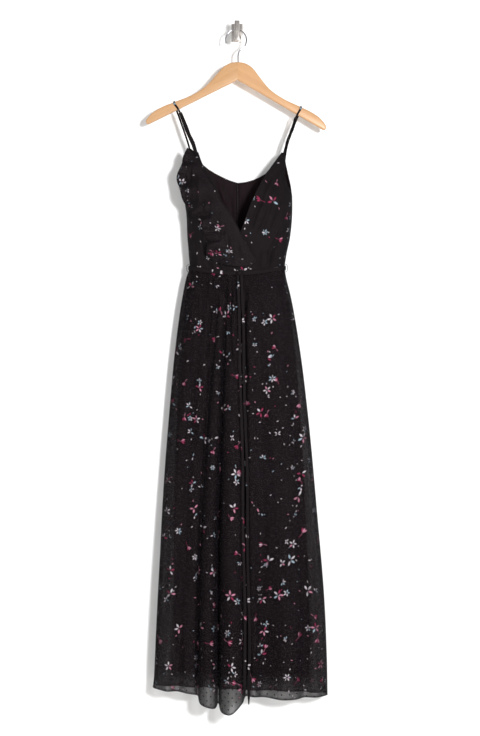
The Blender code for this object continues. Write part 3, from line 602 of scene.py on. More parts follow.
@dataclass(frozen=True)
class LacqueredBeech:
    """Steamed beech or lotus wood under clear satin lacquer: warm, with a fine long grain."""

    name: str
    pale: str
    warm: str
    slope: float

    def build(self) -> bpy.types.Material:
        """Makes the wood, with its grain along the arm that slopes by the given angle.

        Returns:
            The material.
        """
        material, tree = new_material(self.name)
        place = add_node(tree, "TexCoord")
        turned = add_node(
            tree, "Mapping", {"Vector": place.outputs["Object"], "Rotation": (0.0, self.slope, 0.0)}
        )
        long = add_node(tree, "Mapping", {"Vector": turned, "Scale": (5.0, 70.0, 95.0)})
        grain = add_node(
            tree, "TexNoise", {"Vector": long, "Scale": 1.0, "Detail": 5.0, "Distortion": 0.6}
        )
        pores = add_node(tree, "Mapping", {"Vector": turned, "Scale": (60.0, 700.0, 900.0)})
        flecks = add_node(tree, "TexNoise", {"Vector": pores, "Scale": 1.0, "Detail": 2.0})
        spread = add_node(tree, "MapRange", {0: grain, 1: 0.24, 2: 0.76})
        body = add_node(
            tree, "Mix", {0: spread, 6: linear(self.warm), 7: linear(self.pale)}, data_type="RGBA"
        )
        dark = add_node(tree, "MapRange", {0: flecks, 1: 0.60, 2: 0.72, 3: 0.0, 4: 0.35})
        colour = add_node(tree, "Mix", {0: dark, 6: body, 7: linear("#946337")}, data_type="RGBA")
        rough = add_node(tree, "MapRange", {0: grain, 3: 0.34, 4: 0.46})
        bump = add_node(tree, "Bump", {"Height": flecks, "Strength": 0.12, "Distance": 0.0002})
        shader = add_node(
            tree,
            "BsdfPrincipled",
            {
                "Base Color": colour,
                "Roughness": rough,
                "Coat Weight": 0.35,
                "Coat Roughness": 0.22,
                "Normal": bump,
            },
        )
        add_node(tree, "OutputMaterial", {0: shader})
        return material


@dataclass(frozen=True)
class BrushedMetal:
    """Metal with fine scratches along Z: nickel plate on the wall hook, or drawn steel wire."""

    name: str
    dark: str
    pale: str
    low: float
    high: float
    stretch: tuple[float, float, float]

    def build(self) -> bpy.types.Material:
        """Makes the metal.

        Returns:
            The material.
        """
        material, tree = new_material(self.name)
        place = add_node(tree, "TexCoord")
        drawn = add_node(tree, "Mapping", {"Vector": place.outputs["Object"], "Scale": self.stretch})
        lines = add_node(tree, "TexNoise", {"Vector": drawn, "Scale": 1.0, "Detail": 4.0})
        wear = add_node(tree, "TexNoise", {"Vector": place.outputs["Object"], "Scale": 60.0})
        colour = add_node(
            tree, "Mix", {0: lines, 6: linear(self.dark), 7: linear(self.pale)}, data_type="RGBA"
        )
        both = add_node(tree, "Math", {0: lines, 1: wear}, operation="MULTIPLY")
        rough = add_node(tree, "MapRange", {0: both, 1: 0.1, 2: 0.45, 3: self.low, 4: self.high})
        bump = add_node(tree, "Bump", {"Height": lines, "Strength": 0.1, "Distance": 0.0001})
        shader = add_node(
            tree,
            "BsdfPrincipled",
            {
                "Base Color": colour,
                "Metallic": 1.0,
                "Roughness": rough,
                "Normal": bump,
            },
        )
        add_node(tree, "OutputMaterial", {0: shader})
        return material


@dataclass(frozen=True)
class BlackEnamel:
    """Baked black enamel on zinc or moulded nylon, with small scuffs, on the zip's parts."""

    name: str = "Black enamel"

    def build(self) -> bpy.types.Material:
        """Makes the enamel.

        Returns:
            The material.
        """
        material, tree = new_material(self.name)
        place = add_node(tree, "TexCoord")
        scuffs = add_node(
            tree, "TexNoise", {"Vector": place.outputs["Object"], "Scale": 900.0, "Detail": 3.0}
        )
        share = add_node(tree, "MapRange", {0: scuffs, 1: 0.62, 2: 0.75})
        colour = add_node(
            tree, "Mix", {0: share, 6: linear("#1B1A1C"), 7: linear("#4A484B")}, data_type="RGBA"
        )
        rough = add_node(tree, "MapRange", {0: scuffs, 3: 0.28, 4: 0.5})
        shader = add_node(
            tree, "BsdfPrincipled", {"Base Color": colour, "Roughness": rough, "Coat Weight": 0.3}
        )
        add_node(tree, "OutputMaterial", {0: shader})
        return material


def ease(value: np.ndarray | float) -> np.ndarray | float:
    """Smooth step from 0 to 1.

    Args:
        value: How far along, clipped to 0 to 1.

    Returns:
        The eased value.
    """
    value = np.clip(value, 0.0, 1.0)
    return value * value * (3.0 - 2.0 * value)


def smooth_through(knots: list[float], values: list[float], at: np.ndarray | float) -> np.ndarray:
    """A smooth curve through values at rising knots.

    Args:
        knots: Where the values are.
        values: What the curve passes through.
        at: Where the curve is wanted.

    Returns:
        The curve's values there.
    """
    k = np.asarray(knots, float)
    v = np.asarray(values, float)
    at = np.clip(at, k[0], k[-1])
    slopes = np.gradient(v, k)
    i = np.clip(np.searchsorted(k, at, side="right") - 1, 0, len(k) - 2)
    width = k[i + 1] - k[i]
    s = (at - k[i]) / width
    rise = v[i] * (2 * s**3 - 3 * s**2 + 1) + v[i + 1] * (3 * s**2 - 2 * s**3)
    lean = slopes[i] * (s**3 - 2 * s**2 + s) + slopes[i + 1] * (s**3 - s**2)
    return rise + lean * width


def column_at(rows: tuple, column: str, z: np.ndarray | float) -> np.ndarray:
    """A column of a table whose rows go down in z, at height z.

    Args:
        rows: The table.
        column: The column's name.
        z: The height.

    Returns:
        The column's value there.
    """
    return smooth_through([-r.z for r in rows], [getattr(r, column) for r in rows], -z)


def three_point(start: float, middle: float, end: float, t: np.ndarray) -> np.ndarray:
    """The parabola through start, middle and end at t of 0, a half and 1.

    Args:
        start: Its value at 0.
        middle: Its value at a half.
        end: Its value at 1.
        t: Where it is wanted.

    Returns:
        Its values there.
    """
    return start * (1 - t) * (1 - 2 * t) + middle * 4 * t * (1 - t) + end * t * (2 * t - 1)


def run_lengths(points: np.ndarray) -> np.ndarray:
    """Length along a line of points, at each point.

    Args:
        points: The line's points.

    Returns:
        The lengths, from 0.
    """
    steps = np.linalg.norm(np.diff(points, axis=0), axis=1)
    return np.concatenate([[0.0], np.cumsum(steps)])


def stretch(points: np.ndarray, start: float, stop: float, shares: np.ndarray) -> np.ndarray:
    """Points at the given shares of the stretch from start to stop along a line.

    Args:
        points: The line's points.
        start: Where the stretch starts, along the line.
        stop: Where it stops.
        shares: Shares of the stretch, from 0 to 1.

    Returns:
        A point for each share.
    """
    lengths = run_lengths(points)
    wanted = start + (stop - start) * np.asarray(shares)
    return np.stack([np.interp(wanted, lengths, points[:, k]) for k in range(3)], axis=1)


def y_on(ring: np.ndarray, x: float) -> float:
    """Y of a half ring at a place across the dress.

    Args:
        ring: The half ring's points, by rising x.
        x: The place.

    Returns:
        Its Y.
    """
    return float(np.interp(x, ring[:, 0], ring[:, 1]))


def spline_rows(
    points: np.ndarray, per_span: int, mirror: tuple[float, float, float] = (-1.0, -1.0, -1.0)
) -> np.ndarray:
    """Smooth (centripetal) lines through rows of points.

    Args:
        points: Rows by knots by 3.
        per_span: Steps between each two knots.
        mirror: How a line goes on past its ends: (1, -1, 1) meets them along Y.

    Returns:
        Rows by points by 3.
    """
    first = points[:, :1] + np.array(mirror) * (points[:, 1:2] - points[:, :1])
    last = points[:, -1:] + np.array(mirror) * (points[:, -2:-1] - points[:, -1:])
    p = np.concatenate([first, points, last], axis=1)
    gaps = np.sqrt(np.linalg.norm(np.diff(p, axis=1), axis=2))
    knots = np.concatenate([np.zeros((len(p), 1)), np.cumsum(gaps, axis=1)], axis=1)
    line = []
    for i in range(1, p.shape[1] - 2):
        for step in range(per_span):
            t = knots[:, i] + (knots[:, i + 1] - knots[:, i]) * step / per_span
            level = [p[:, i - 1 + k] for k in range(4)]
            for width in (1, 2, 3):
                for k in range(4 - width):
                    low = knots[:, i] if width == 3 else knots[:, i - 1 + k]
                    high = knots[:, i + 1] if width == 3 else knots[:, i - 1 + k + width]
                    if width == 2:
                        high = knots[:, i + 1 + k]
                    share = ((t - low) / (high - low))[:, None]
                    level[k] = (1.0 - share) * level[k] + share * level[k + 1]
            line.append(level[0])
    line.append(p[:, -2])
    return np.stack(line, axis=1)


def spline(points: list, per_span: int) -> np.ndarray:
    """A smooth line through points.

    Args:
        points: The points.
        per_span: Steps between each two points.

    Returns:
        The line's points.
    """
    return spline_rows(np.array([[[*p] for p in points]], float), per_span)[0]


def crease_rise(points: np.ndarray, creases: tuple[Crease, ...]) -> np.ndarray:
    """How far the ridges and troughs stand out at each point of a cloth.

    Args:
        points: The cloth's points, in any shape that ends in 3.
        creases: The ridges and troughs, by their places seen from the front.

    Returns:
        The rise at each point.
    """
    total = np.zeros(points.shape[:-1])
    for crease in creases:
        run = np.array([crease.x_low - crease.x_top, crease.z_low - crease.z_top])
        length = np.linalg.norm(run)
        away = np.stack([points[..., 0] - crease.x_top, points[..., 2] - crease.z_top], axis=-1)
        along = away @ run / length**2
        across = (away @ np.array([-run[1], run[0]])) / length
        bow = 0.05 * length * np.sin(math.pi * np.clip(along, 0.0, 1.0)) * np.sign(crease.rise)
        fade = ease(along / 0.3) * ease((1.0 - along) / 0.3)
        total += crease.rise * np.exp(-(((across - bow) / crease.width) ** 2)) * fade
    return total


def creased(
    points: np.ndarray, creases: tuple[Crease, ...], face: Face, keep: np.ndarray | float
) -> np.ndarray:
    """Raises ridges and sinks troughs in a cloth.

    Args:
        points: The cloth's points, in any shape that ends in 3.
        creases: The ridges and troughs, by their places seen from the front.
        face: Which way the cloth faces.
        keep: How much of them each point takes, 0 at seams.

    Returns:
        The moved points.
    """
    moved = points.copy()
    moved[..., 1] += face.value * crease_rise(points, creases) * keep
    return moved


@dataclass(frozen=True)
class Tube:
    """The tube that the dress hangs in, from underarms to hem."""

    levels: tuple[Level, ...] = (
        Level(-0.270, -0.1200, 0.1180, -0.066, -0.024),
        Level(-0.330, -0.1240, 0.1205, -0.076, -0.019),
        Level(-0.400, -0.1270, 0.1315, -0.087, -0.014),
        Level(-0.450, -0.1210, 0.1318, -0.087, -0.013),
        Level(-0.500, -0.1190, 0.1270, -0.081, -0.015),
        Level(-0.550, -0.1150, 0.1170, -0.075, -0.018),
        Level(-0.576, -0.1138, 0.1140, -0.074, -0.019),
        Level(-0.600, -0.1215, 0.1175, -0.075, -0.019),
        Level(-0.634, -0.1284, 0.1260, -0.076, -0.019),
        Level(-0.768, -0.1476, 0.1500, -0.078, -0.018),
        Level(-0.922, -0.1620, 0.1692, -0.080, -0.017),
        Level(-1.152, -0.1788, 0.1910, -0.082, -0.015),
        Level(-1.382, -0.1884, 0.2100, -0.083, -0.014),
        Level(-1.498, -0.1915, 0.2148, -0.083, -0.014),
        Level(-1.640, -0.2080, 0.2175, -0.083, -0.014),
    )
    power: float = 0.8
    waist_sag: float = 0.014
    bust_out: float = 0.006
    bust_z: float = -0.425
    bust_radius: float = 0.055
    busts_x: tuple[float, float] = (-0.062, 0.066)
    drape_height: float = 0.0013
    over_out: float = 0.0028
    count: int = 241

    def half_ring(
        self, z: float, face: Face, out: float = 0.0, out_sides: float = 0.0
    ) -> np.ndarray:
        """Half of the tube at height z, from its left edge to its right one.

        Args:
            z: The height.
            face: The front or the back half.
            out: How much further from the middle plane it lies.
            out_sides: How much further out it lies at its sides.

        Returns:
            Its points.
        """
        left = column_at(self.levels, "left", z) - out_sides
        right = column_at(self.levels, "right", z) + out_sides
        wall = column_at(self.levels, "front" if face is Face.FRONT else "back", z)
        depth = abs(wall - MIDDLE_Y) + out
        angle = np.linspace(math.pi, 0.0, self.count)
        cosine = np.cos(angle)
        bulge = np.sign(cosine) * abs(cosine) ** self.power
        x = (left + right) / 2 + (right - left) / 2 * bulge
        y = MIDDLE_Y + face.value * depth * np.sin(angle).clip(0.0) ** self.power
        return np.stack([x, y, np.full(self.count, z)], axis=1)

    def back_row(
        self, z: float, side: Side, inward: float, gap: float, shares: np.ndarray | list[float]
    ) -> np.ndarray:
        """Points of one half of the back at height z, from its side seam to the centre seam.

        Args:
            z: The height.
            side: Which half.
            inward: How far inside the tube it lies.
            gap: The gap between both halves at the centre.
            shares: The points' shares of the way.

        Returns:
            The points.
        """
        ring = self.half_ring(z, Face.BACK, -inward, -inward)
        lengths = run_lengths(ring)
        centre = np.interp(CENTRE_SEAM_X + side.value * gap / 2, ring[:, 0], lengths)
        start = SEAM_GAP / 2 if side is Side.LEFT else lengths[-1] - SEAM_GAP / 2
        return stretch(ring, start, centre, shares)

    def sag(self, x: np.ndarray | float, z: np.ndarray | float) -> np.ndarray:
        """How far the front hangs below its level near the waist, most in the middle.

        Args:
            x: The place across.
            z: The height.

        Returns:
            The drop.
        """
        left = column_at(self.levels, "left", WAIST_Z)
        right = column_at(self.levels, "right", WAIST_Z)
        across = np.clip((x - (left + right) / 2) / ((right - left) / 2), -1.0, 1.0)
        deep = ease((UNDERARM_Z - z) / (UNDERARM_Z - WAIST_Z))
        return self.waist_sag * (1.0 - across**2) * deep

    def bust(self, x: np.ndarray | float, z: np.ndarray | float) -> np.ndarray:
        """How far the bust darts push the front out.

        Args:
            x: The place across.
            z: The height.

        Returns:
            The push.
        """
        near = [
            np.exp(-(((x - cup) ** 2) + (z - self.bust_z) ** 2) / self.bust_radius**2)
            for cup in self.busts_x
        ]
        return self.bust_out * sum(near) * ease((0.132 - abs(x)) / 0.03)

    def drape(self, x: np.ndarray | float, z: np.ndarray | float) -> np.ndarray:
        """Soft diagonal folds that run from the straps to the waist, flat at both sides.

        Args:
            x: The place across.
            z: The height.

        Returns:
            How far they stand out.
        """
        fade = ease((-z - 0.33) / 0.08) * ease((z - WAIST_Z) / 0.03)
        fade = fade * ease((0.118 - abs(x)) / 0.03)
        return self.drape_height * np.sin((x * 0.55 + z) * TAU / 0.062) * fade

    def over_y(self, x: float, z: float) -> float:
        """Y of the crossing panel at a place on the front, past the tube's edge too.

        Args:
            x: The place across.
            z: The height.

        Returns:
            Its Y.
        """
        ring = self.half_ring(z, Face.FRONT, out=self.over_out)
        y = y_on(ring, x)
        level = min(y, MIDDLE_Y - 0.018) - self.bust(x, z)
        return level - max(0.0, self.drape(x, z))


def cut_of(
    points: np.ndarray, shift: tuple[float, float], from_column: int = 0, level: bool = True
) -> np.ndarray:
    """Lays a cloth flat: lengths along its rows and down its columns.

    Args:
        points: Rows by columns by 3.
        shift: Where the print starts on this piece.
        from_column: The column that stays straight.
        level: True if its rows go round the body, so that only their sideways run counts.

    Returns:
        Rows by columns by 2, in metres.
    """
    steps = np.diff(points, axis=1)
    across = np.linalg.norm(steps[..., :2] if level else steps, axis=2)
    u = np.concatenate([np.zeros((len(points), 1)), np.cumsum(across, axis=1)], axis=1)
    u = u - u[:, from_column : from_column + 1]
    down = np.linalg.norm(np.diff(points, axis=0), axis=2)
    v = np.concatenate([np.zeros((1, points.shape[1])), np.cumsum(down, axis=0)], axis=0)
    if level:
        v = v - points[:1, :, 2]
    return np.stack([u + shift[0], -v + shift[1]], axis=2)


def publish(
    name: str,
    bm: bmesh.types.BMesh,
    finish: bpy.types.Material,
    replaces: tuple[str, ...] = (),
    body: Body = Body.DRESS,
    sharp_degrees: float = 50.0,
) -> bpy.types.Object:
    """Turns a bmesh into a piece that rides on a body.

    Args:
        name: The piece's name.
        bm: Its mesh in the row frame. It is freed.
        finish: Its material.
        replaces: The CAD nodes it stands for.
        body: The body it moves with.
        sharp_degrees: Edges sharper than this stay hard.

    Returns:
        The piece.
    """
    mesh = bpy.data.meshes.new(name)
    bm.to_mesh(mesh)
    bm.free()
    mesh.materials.append(finish)
    mesh.shade_smooth()
    mesh.set_sharp_from_angle(angle=math.radians(sharp_degrees))
    piece = bpy.data.objects.new(name, mesh)
    bpy.context.scene.collection.objects.link(piece)
    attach(piece, body.value)
    if replaces:
        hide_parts(*replaces)
    LOG.info("%s: %d faces", name, len(mesh.polygons))
    return piece


def thicken(piece: bpy.types.Object, thickness: float) -> None:
    """Gives a cloth its thickness, half on each side.

    Args:
        piece: The cloth.
        thickness: Its thickness.
    """
    wall = piece.modifiers.new("wall", "SOLIDIFY")
    wall.thickness = thickness
    wall.offset = 0.0


def grid_mesh(
    points: np.ndarray, cut: np.ndarray, outward: tuple[float, float, float]
) -> bmesh.types.BMesh:
    """A grid whose vertices are moved to a cloth's points, with the cloth's cut as its UV map.

    Args:
        points: Rows by columns by 3.
        cut: Rows by columns by 2, in metres.
        outward: The way its middle faces.

    Returns:
        The mesh.
    """
    rows, columns, _ = points.shape
    bm = bmesh.new()
    bmesh.ops.create_grid(bm, x_segments=columns - 1, y_segments=rows - 1, size=0.5)
    layer = bm.loops.layers.uv.new(CLOTH_MAP)
    places = {}
    for vert in bm.verts:
        r = round((0.5 - vert.co.y) * (rows - 1))
        c = round((vert.co.x + 0.5) * (columns - 1))
        places[vert] = (r, c)
    for face in bm.faces:
        for loop in face.loops:
            loop[layer].uv = cut[places[loop.vert]]
    for vert, place in places.items():
        vert.co = points[place]
    bm.normal_update()
    facing = sum((f.normal for f in bm.faces), Vector())
    if facing.dot(Vector(outward)) < 0.0:
        bmesh.ops.reverse_faces(bm, faces=bm.faces[:])
    return bm


@dataclass(frozen=True)
class Trim:
    """A hem, binding or seam on a cloth's edge, made of round rolls along lines."""

    word: str
    lines: list[np.ndarray]
    radius: float
    finish: bpy.types.Material


def cloth_panel(
    node: str,
    points: np.ndarray,
    cut: np.ndarray,
    finish: bpy.types.Material,
    face: Face,
    trims: tuple[Trim, ...] = (),
    thickness: float = 0.0005,
) -> None:
    """A thin cloth shell through a grid of points, with its trims.

    Args:
        node: The CAD node it stands for.
        points: Rows by columns by 3.
        cut: Rows by columns by 2, the cloth laid flat.
        finish: Its material.
        face: Which way it faces.
        trims: What is sewn to its edges.
        thickness: The shell's thickness.
    """
    bm = grid_mesh(points, cut, (0.0, float(face.value), 0.0))
    piece = publish(node + "_cloth", bm, finish, (node,), sharp_degrees=180.0)
    thicken(piece, thickness)
    sewn_on = [
        publish(f"{node}_{trim.word}", tubes(trim.lines, trim.radius), trim.finish)
        for trim in trims
    ]


def seal(bm: bmesh.types.BMesh, fill: bool = False) -> None:
    """Merges vertices that meet and turns the faces outward.

    Args:
        bm: The mesh.
        fill: True to close its open ends before the faces are turned.
    """
    bmesh.ops.remove_doubles(bm, verts=bm.verts[:], dist=MERGE)
    if fill:
        bmesh.ops.holes_fill(bm, edges=[e for e in bm.edges if e.is_boundary])
    bmesh.ops.recalc_face_normals(bm, faces=bm.faces[:])


def tube_mesh(line: np.ndarray, radius: float, sides: int = 2) -> bpy.types.Mesh:
    """A round tube along a line, made by a curve's bevel.

    Args:
        line: Points down its middle.
        radius: Half its thickness.
        sides: The bevel's resolution.

    Returns:
        Its mesh.
    """
    curve = bpy.data.curves.new("tube", "CURVE")
    curve.dimensions = "3D"
    path = curve.splines.new("POLY")
    path.points.add(len(line) - 1)
    for point, co in zip(path.points, line):
        point.co = (*co, 1.0)
    curve.bevel_depth = radius
    curve.bevel_resolution = sides
    curve.use_fill_caps = True
    holder = bpy.data.objects.new("tube", curve)
    mesh = bpy.data.meshes.new_from_object(holder)
    bpy.data.objects.remove(holder)
    bpy.data.curves.remove(curve)
    return mesh


def tubes(lines: list[np.ndarray], radius: float, sides: int = 2) -> bmesh.types.BMesh:
    """Several tubes in one mesh, with closed ends.

    Args:
        lines: The middle line of each.
        radius: Half their thickness.
        sides: The bevel's resolution.

    Returns:
        The mesh.
    """
    bm = bmesh.new()
    for line in lines:
        mesh = tube_mesh(line, radius, sides)
        bm.from_mesh(mesh)
        bpy.data.meshes.remove(mesh)
    seal(bm)
    return bm


def band_mesh(
    line: np.ndarray,
    across: np.ndarray,
    width: float | np.ndarray,
    thickness: float,
    shift: tuple[float, float],
    sides: int = 16,
    ripple: float = 0.0,
) -> bmesh.types.BMesh:
    """A flat sewn band: a rounded flat tube along a line, closed at both ends.

    Args:
        line: Points down its middle.
        across: The way its width lies, at each point.
        width: Its width, or its width at each point.
        thickness: Its thickness.
        shift: Where the print starts on it.
        sides: Points round it.
        ripple: Height of the small waves that the stitching draws in.

    Returns:
        The mesh.
    """
    count = len(line)
    along = np.gradient(line, axis=0)
    along /= np.linalg.norm(along, axis=1)[:, None]
    across = np.broadcast_to(across, line.shape)
    across = across - (across * along).sum(1)[:, None] * along
    across = across / np.linalg.norm(across, axis=1)[:, None]
    normal = np.cross(along, across)
    lengths = run_lengths(line)
    angle = np.linspace(0.0, TAU, sides + 1)
    flat = np.sign(np.cos(angle)) * abs(np.cos(angle)) ** 0.6
    deep = np.sign(np.sin(angle)) * abs(np.sin(angle)) ** 0.8
    half = np.broadcast_to(np.asarray(width, float) / 2, (count,))
    wave = ripple * np.sin(lengths * TAU / 0.013 + 2.0 * np.sin(lengths * 61.0))
    grid = np.empty((count, sides + 1, 3))
    for c in range(sides + 1):
        sway = wave * flat[c]
        out = (thickness / 2 * deep[c] + sway)[:, None]
        grid[:, c] = line + across * (half * flat[c])[:, None] + normal * out
    cut = np.empty((count, sides + 1, 2))
    cut[..., 0] = shift[0] + np.linspace(0.0, 1.0, sides + 1) * 2.0 * float(np.max(half) * 2)
    cut[..., 1] = shift[1] - lengths[:, None]
    bm = grid_mesh(grid, cut, (0.0, 0.0, 0.0))
    seal(bm, fill=True)
    return bm


def round_edges(
    bm: bmesh.types.BMesh, edges: list[bmesh.types.BMEdge], radius: float, steps: int
) -> None:
    """Rounds edges with a bevel.

    Args:
        bm: The mesh.
        edges: The edges.
        radius: The bevel's width.
        steps: Its segments.
    """
    bmesh.ops.bevel(
        bm, geom=edges, offset=radius, segments=steps, profile=0.5, affect="EDGES", material=-1
    )


def block(bm: bmesh.types.BMesh, size: tuple, centre: tuple, bevel: float = 0.0, steps: int = 3) -> None:
    """Adds a box to a bmesh, with rounded edges if bevel is set.

    Args:
        bm: The mesh.
        size: The box's size.
        centre: Its centre.
        bevel: The radius of its edges.
        steps: The bevel's segments.
    """
    matrix = Matrix.Translation(Vector(centre)) @ Matrix.Diagonal((*size, 1.0))
    made = bmesh.ops.create_cube(bm, size=1.0, matrix=matrix)
    if bevel:
        edges = list({e for v in made["verts"] for e in v.link_edges})
        round_edges(bm, edges, bevel, steps)


def turned_along_y(bm: bmesh.types.BMesh, profile: list[tuple[float, float]], x: float, z: float) -> None:
    """Adds a part turned round a line along Y.

    Args:
        bm: The mesh it goes into.
        profile: Pairs of y and radius, both ends at radius 0.
        x: The line's x.
        z: The line's z.
    """
    verts = [bm.verts.new((x + radius, y, z)) for y, radius in profile]
    edges = [bm.edges.new(pair) for pair in zip(verts, verts[1:])]
    bmesh.ops.spin(
        bm,
        geom=verts + edges,
        cent=(x, 0.0, z),
        axis=(0.0, 1.0, 0.0),
        angle=TAU,
        steps=40,
        use_merge=True,
    )
    seal(bm)


@dataclass
class Finishes:
    """Every material of the dress, its hanger and the wall hook."""

    def __post_init__(self) -> None:
        """Builds them all."""
        self.sheer = PrintedChiffon("Sheer crepe chiffon", 0.46).build()
        self.ruffle = PrintedChiffon("Crepe chiffon flounce", 0.90).build()
        self.lined = PrintedChiffon("Lined crepe chiffon", 1.0, "#0D090A", "#171214").build()
        self.lining = LiningCloth().build()
        self.hem = SewnCloth("Rolled chiffon hem", "#0D0A0C", "#191517", 0.0011, 0.85).build()
        self.thread = SewnCloth("Polyester sewing thread", "#1A161A", "#3A343A", 0.0005, 0.5).build()
        slope = math.radians(27.0)
        self.wood_left = LacqueredBeech("Lacquered beech, left", "#C49A70", "#B4885A", slope).build()
        self.wood_right = LacqueredBeech("Lacquered beech, right", "#C5986A", "#B48456", -slope).build()
        self.wire = BrushedMetal(
            "Polished steel wire", "#8E8E92", "#C9C9CC", 0.12, 0.25, (500.0, 500.0, 60.0)
        ).build()
        self.nickel = BrushedMetal(
            "Brushed nickel", "#B1AAA5", "#E0DAD5", 0.2, 0.38, (1500.0, 1500.0, 25.0)
        ).build()
        self.enamel = BlackEnamel().build()


@dataclass
class WallHook:
    """A plate on the wall, a round post, and an upright bar that keeps the hanger on."""

    finishes: Finishes
    plate: tuple[float, float, float] = (0.027, 0.004, 0.044)
    post_radius: float = 0.006
    collar_radius: float = 0.0096
    post_z: float = -0.0116
    bar: tuple[float, float, float] = (0.012, 0.006, 0.0475)
    bar_y: float = -0.064
    bar_z: float = -0.0108
    edge: float = 0.0012

    def build(self) -> None:
        """Builds the plate, and the arm with its collar and bar."""
        bm = bmesh.new()
        block(bm, self.plate, (0.0, -self.plate[1] / 2, 0.0), 0.0011, 4)
        publish("wall_plate_metal", bm, self.finishes.nickel, ("wall_plate",))
        bm = bmesh.new()
        block(bm, self.bar, (0.0, self.bar_y, self.bar_z), self.edge, 4)
        back = -self.plate[1]
        front = self.bar_y + self.bar[1] / 2
        r, c = self.post_radius, self.collar_radius
        profile = [
            (back, 0.0),
            (back, c - 0.0006),
            (back - 0.0006, c),
            (back - 0.0030, c),
            (back - 0.0040, c - 0.0008),
            (back - 0.0044, r + 0.0006),
            (back - 0.0052, r),
            (front + 0.0012, r),
            (front + 0.0002, r + 0.0008),
            (front - 0.0010, r + 0.0008),
            (front - 0.0010, 0.0),
        ]
        turned_along_y(bm, profile, 0.0, self.post_z)
        publish("wall_hook_metal", bm, self.finishes.nickel, ("wall_hook_arm",))


@dataclass
class Hanger:
    """A flat wooden hanger of two glued arms, with a bent wire hook."""

    finishes: Finishes
    crown: tuple[float, float, float] = (0.0024, MIDDLE_Y, -0.0816)
    tilt: float = math.radians(1.9)
    thickness: float = 0.012
    neck_height: float = 0.043
    edge: float = 0.0034
    wire: float = 0.0018
    hook_radius: float = 0.025
    hook_centre: tuple[float, float, float] = (-0.0024, MIDDLE_Y, -0.0284)
    top: tuple[tuple[float, float], ...] = (
        (0.000, 0.000),
        (0.018, 0.003),
        (0.036, 0.014),
        (0.054, 0.036),
        (0.074, 0.059),
        (0.108, 0.0828),
        (0.149, 0.1010),
        (0.184, 0.117),
        (0.202, 0.129),
        (0.212, 0.140),
    )
    tip: tuple[tuple[float, float], ...] = (
        (0.2160, -0.1462),
        (0.2165, -0.1520),
        (0.2140, -0.1560),
        (0.2090, -0.1560),
    )

    def frame(self) -> Matrix:
        """The hanger's own frame: its origin at the crown, tilted as it hangs.

        Returns:
            The frame.
        """
        return Matrix.Translation(Vector(self.crown)) @ Matrix.Rotation(self.tilt, 4, "Y")

    def top_at(self, x: np.ndarray | float) -> np.ndarray:
        """Height of the upper edge under the crown, at a distance from its middle.

        Args:
            x: The distance.

        Returns:
            The height, at most 0.
        """
        return -smooth_through([p[0] for p in self.top], [p[1] for p in self.top], abs(x))

    def arm(self, side: Side) -> bmesh.types.BMesh:
        """One arm: the outline is filled, given its thickness, cut in half and rounded.

        Args:
            side: Which arm.

        Returns:
            Its mesh.
        """
        stations = self.top[-1][0] * np.linspace(-1.0, 1.0, 61)
        outline = [(x, float(self.top_at(x))) for x in stations]
        outline += list(self.tip)
        outline += [(0.0, -self.neck_height)]
        outline += [(-x, z) for x, z in reversed(self.tip)]
        bm = bmesh.new()
        face = bm.faces.new([bm.verts.new((x, self.thickness / 2, z)) for x, z in outline])
        made = bmesh.ops.extrude_face_region(bm, geom=[face])
        moved = [part for part in made["geom"] if isinstance(part, bmesh.types.BMVert)]
        bmesh.ops.translate(bm, vec=(0.0, -self.thickness, 0.0), verts=moved)
        bmesh.ops.recalc_face_normals(bm, faces=bm.faces[:])
        rims = [e for e in bm.edges if abs(e.verts[0].co.y - e.verts[1].co.y) < 1e-6]
        round_edges(bm, rims, self.edge, 5)
        bmesh.ops.bisect_plane(
            bm,
            geom=bm.verts[:] + bm.edges[:] + bm.faces[:],
            plane_co=(side.value * 0.00006, 0.0, 0.0),
            plane_no=(-side.value, 0.0, 0.0),
            clear_outer=True,
        )
        bmesh.ops.holes_fill(bm, edges=[e for e in bm.edges if e.is_boundary])
        bmesh.ops.recalc_face_normals(bm, faces=bm.faces[:])
        bmesh.ops.transform(bm, matrix=self.frame(), verts=bm.verts[:])
        return bm

    def hook_line(self) -> np.ndarray:
        """The wire's middle line: an arc over the post, then an S down into the wood.

        Returns:
            Its points.
        """
        centre = Vector(self.hook_centre)
        arc = [
            centre + self.hook_radius * Vector((math.cos(a), 0.0, math.sin(a)))
            for a in np.linspace(math.radians(197.0), math.radians(-42.0), 22)
        ]
        x, _, z = self.crown
        stem = [
            Vector((x + 0.0065, MIDDLE_Y, -0.0505)),
            Vector((x + 0.0012, MIDDLE_Y, -0.0590)),
            Vector((x, MIDDLE_Y, -0.0660)),
            Vector((x, MIDDLE_Y, z + RELIEF)),
        ]
        return spline(arc + stem, 5)

    def build(self) -> None:
        """Builds both arms and the wire hook."""
        for side, finish in (
            (Side.LEFT, self.finishes.wood_left),
            (Side.RIGHT, self.finishes.wood_right),
        ):
            name = f"hanger_arm_{side.word}"
            publish(name, self.arm(side), finish, ("hanger_wood",))
        line = self.hook_line()
        bm = tubes([line], self.wire, 5)
        tip = Matrix.Translation(Vector(line[0]))
        bmesh.ops.create_icosphere(bm, subdivisions=3, radius=self.wire * 1.04, matrix=tip)
        publish("hanger_hook_wire", bm, self.finishes.wire, ("hanger_hook",))


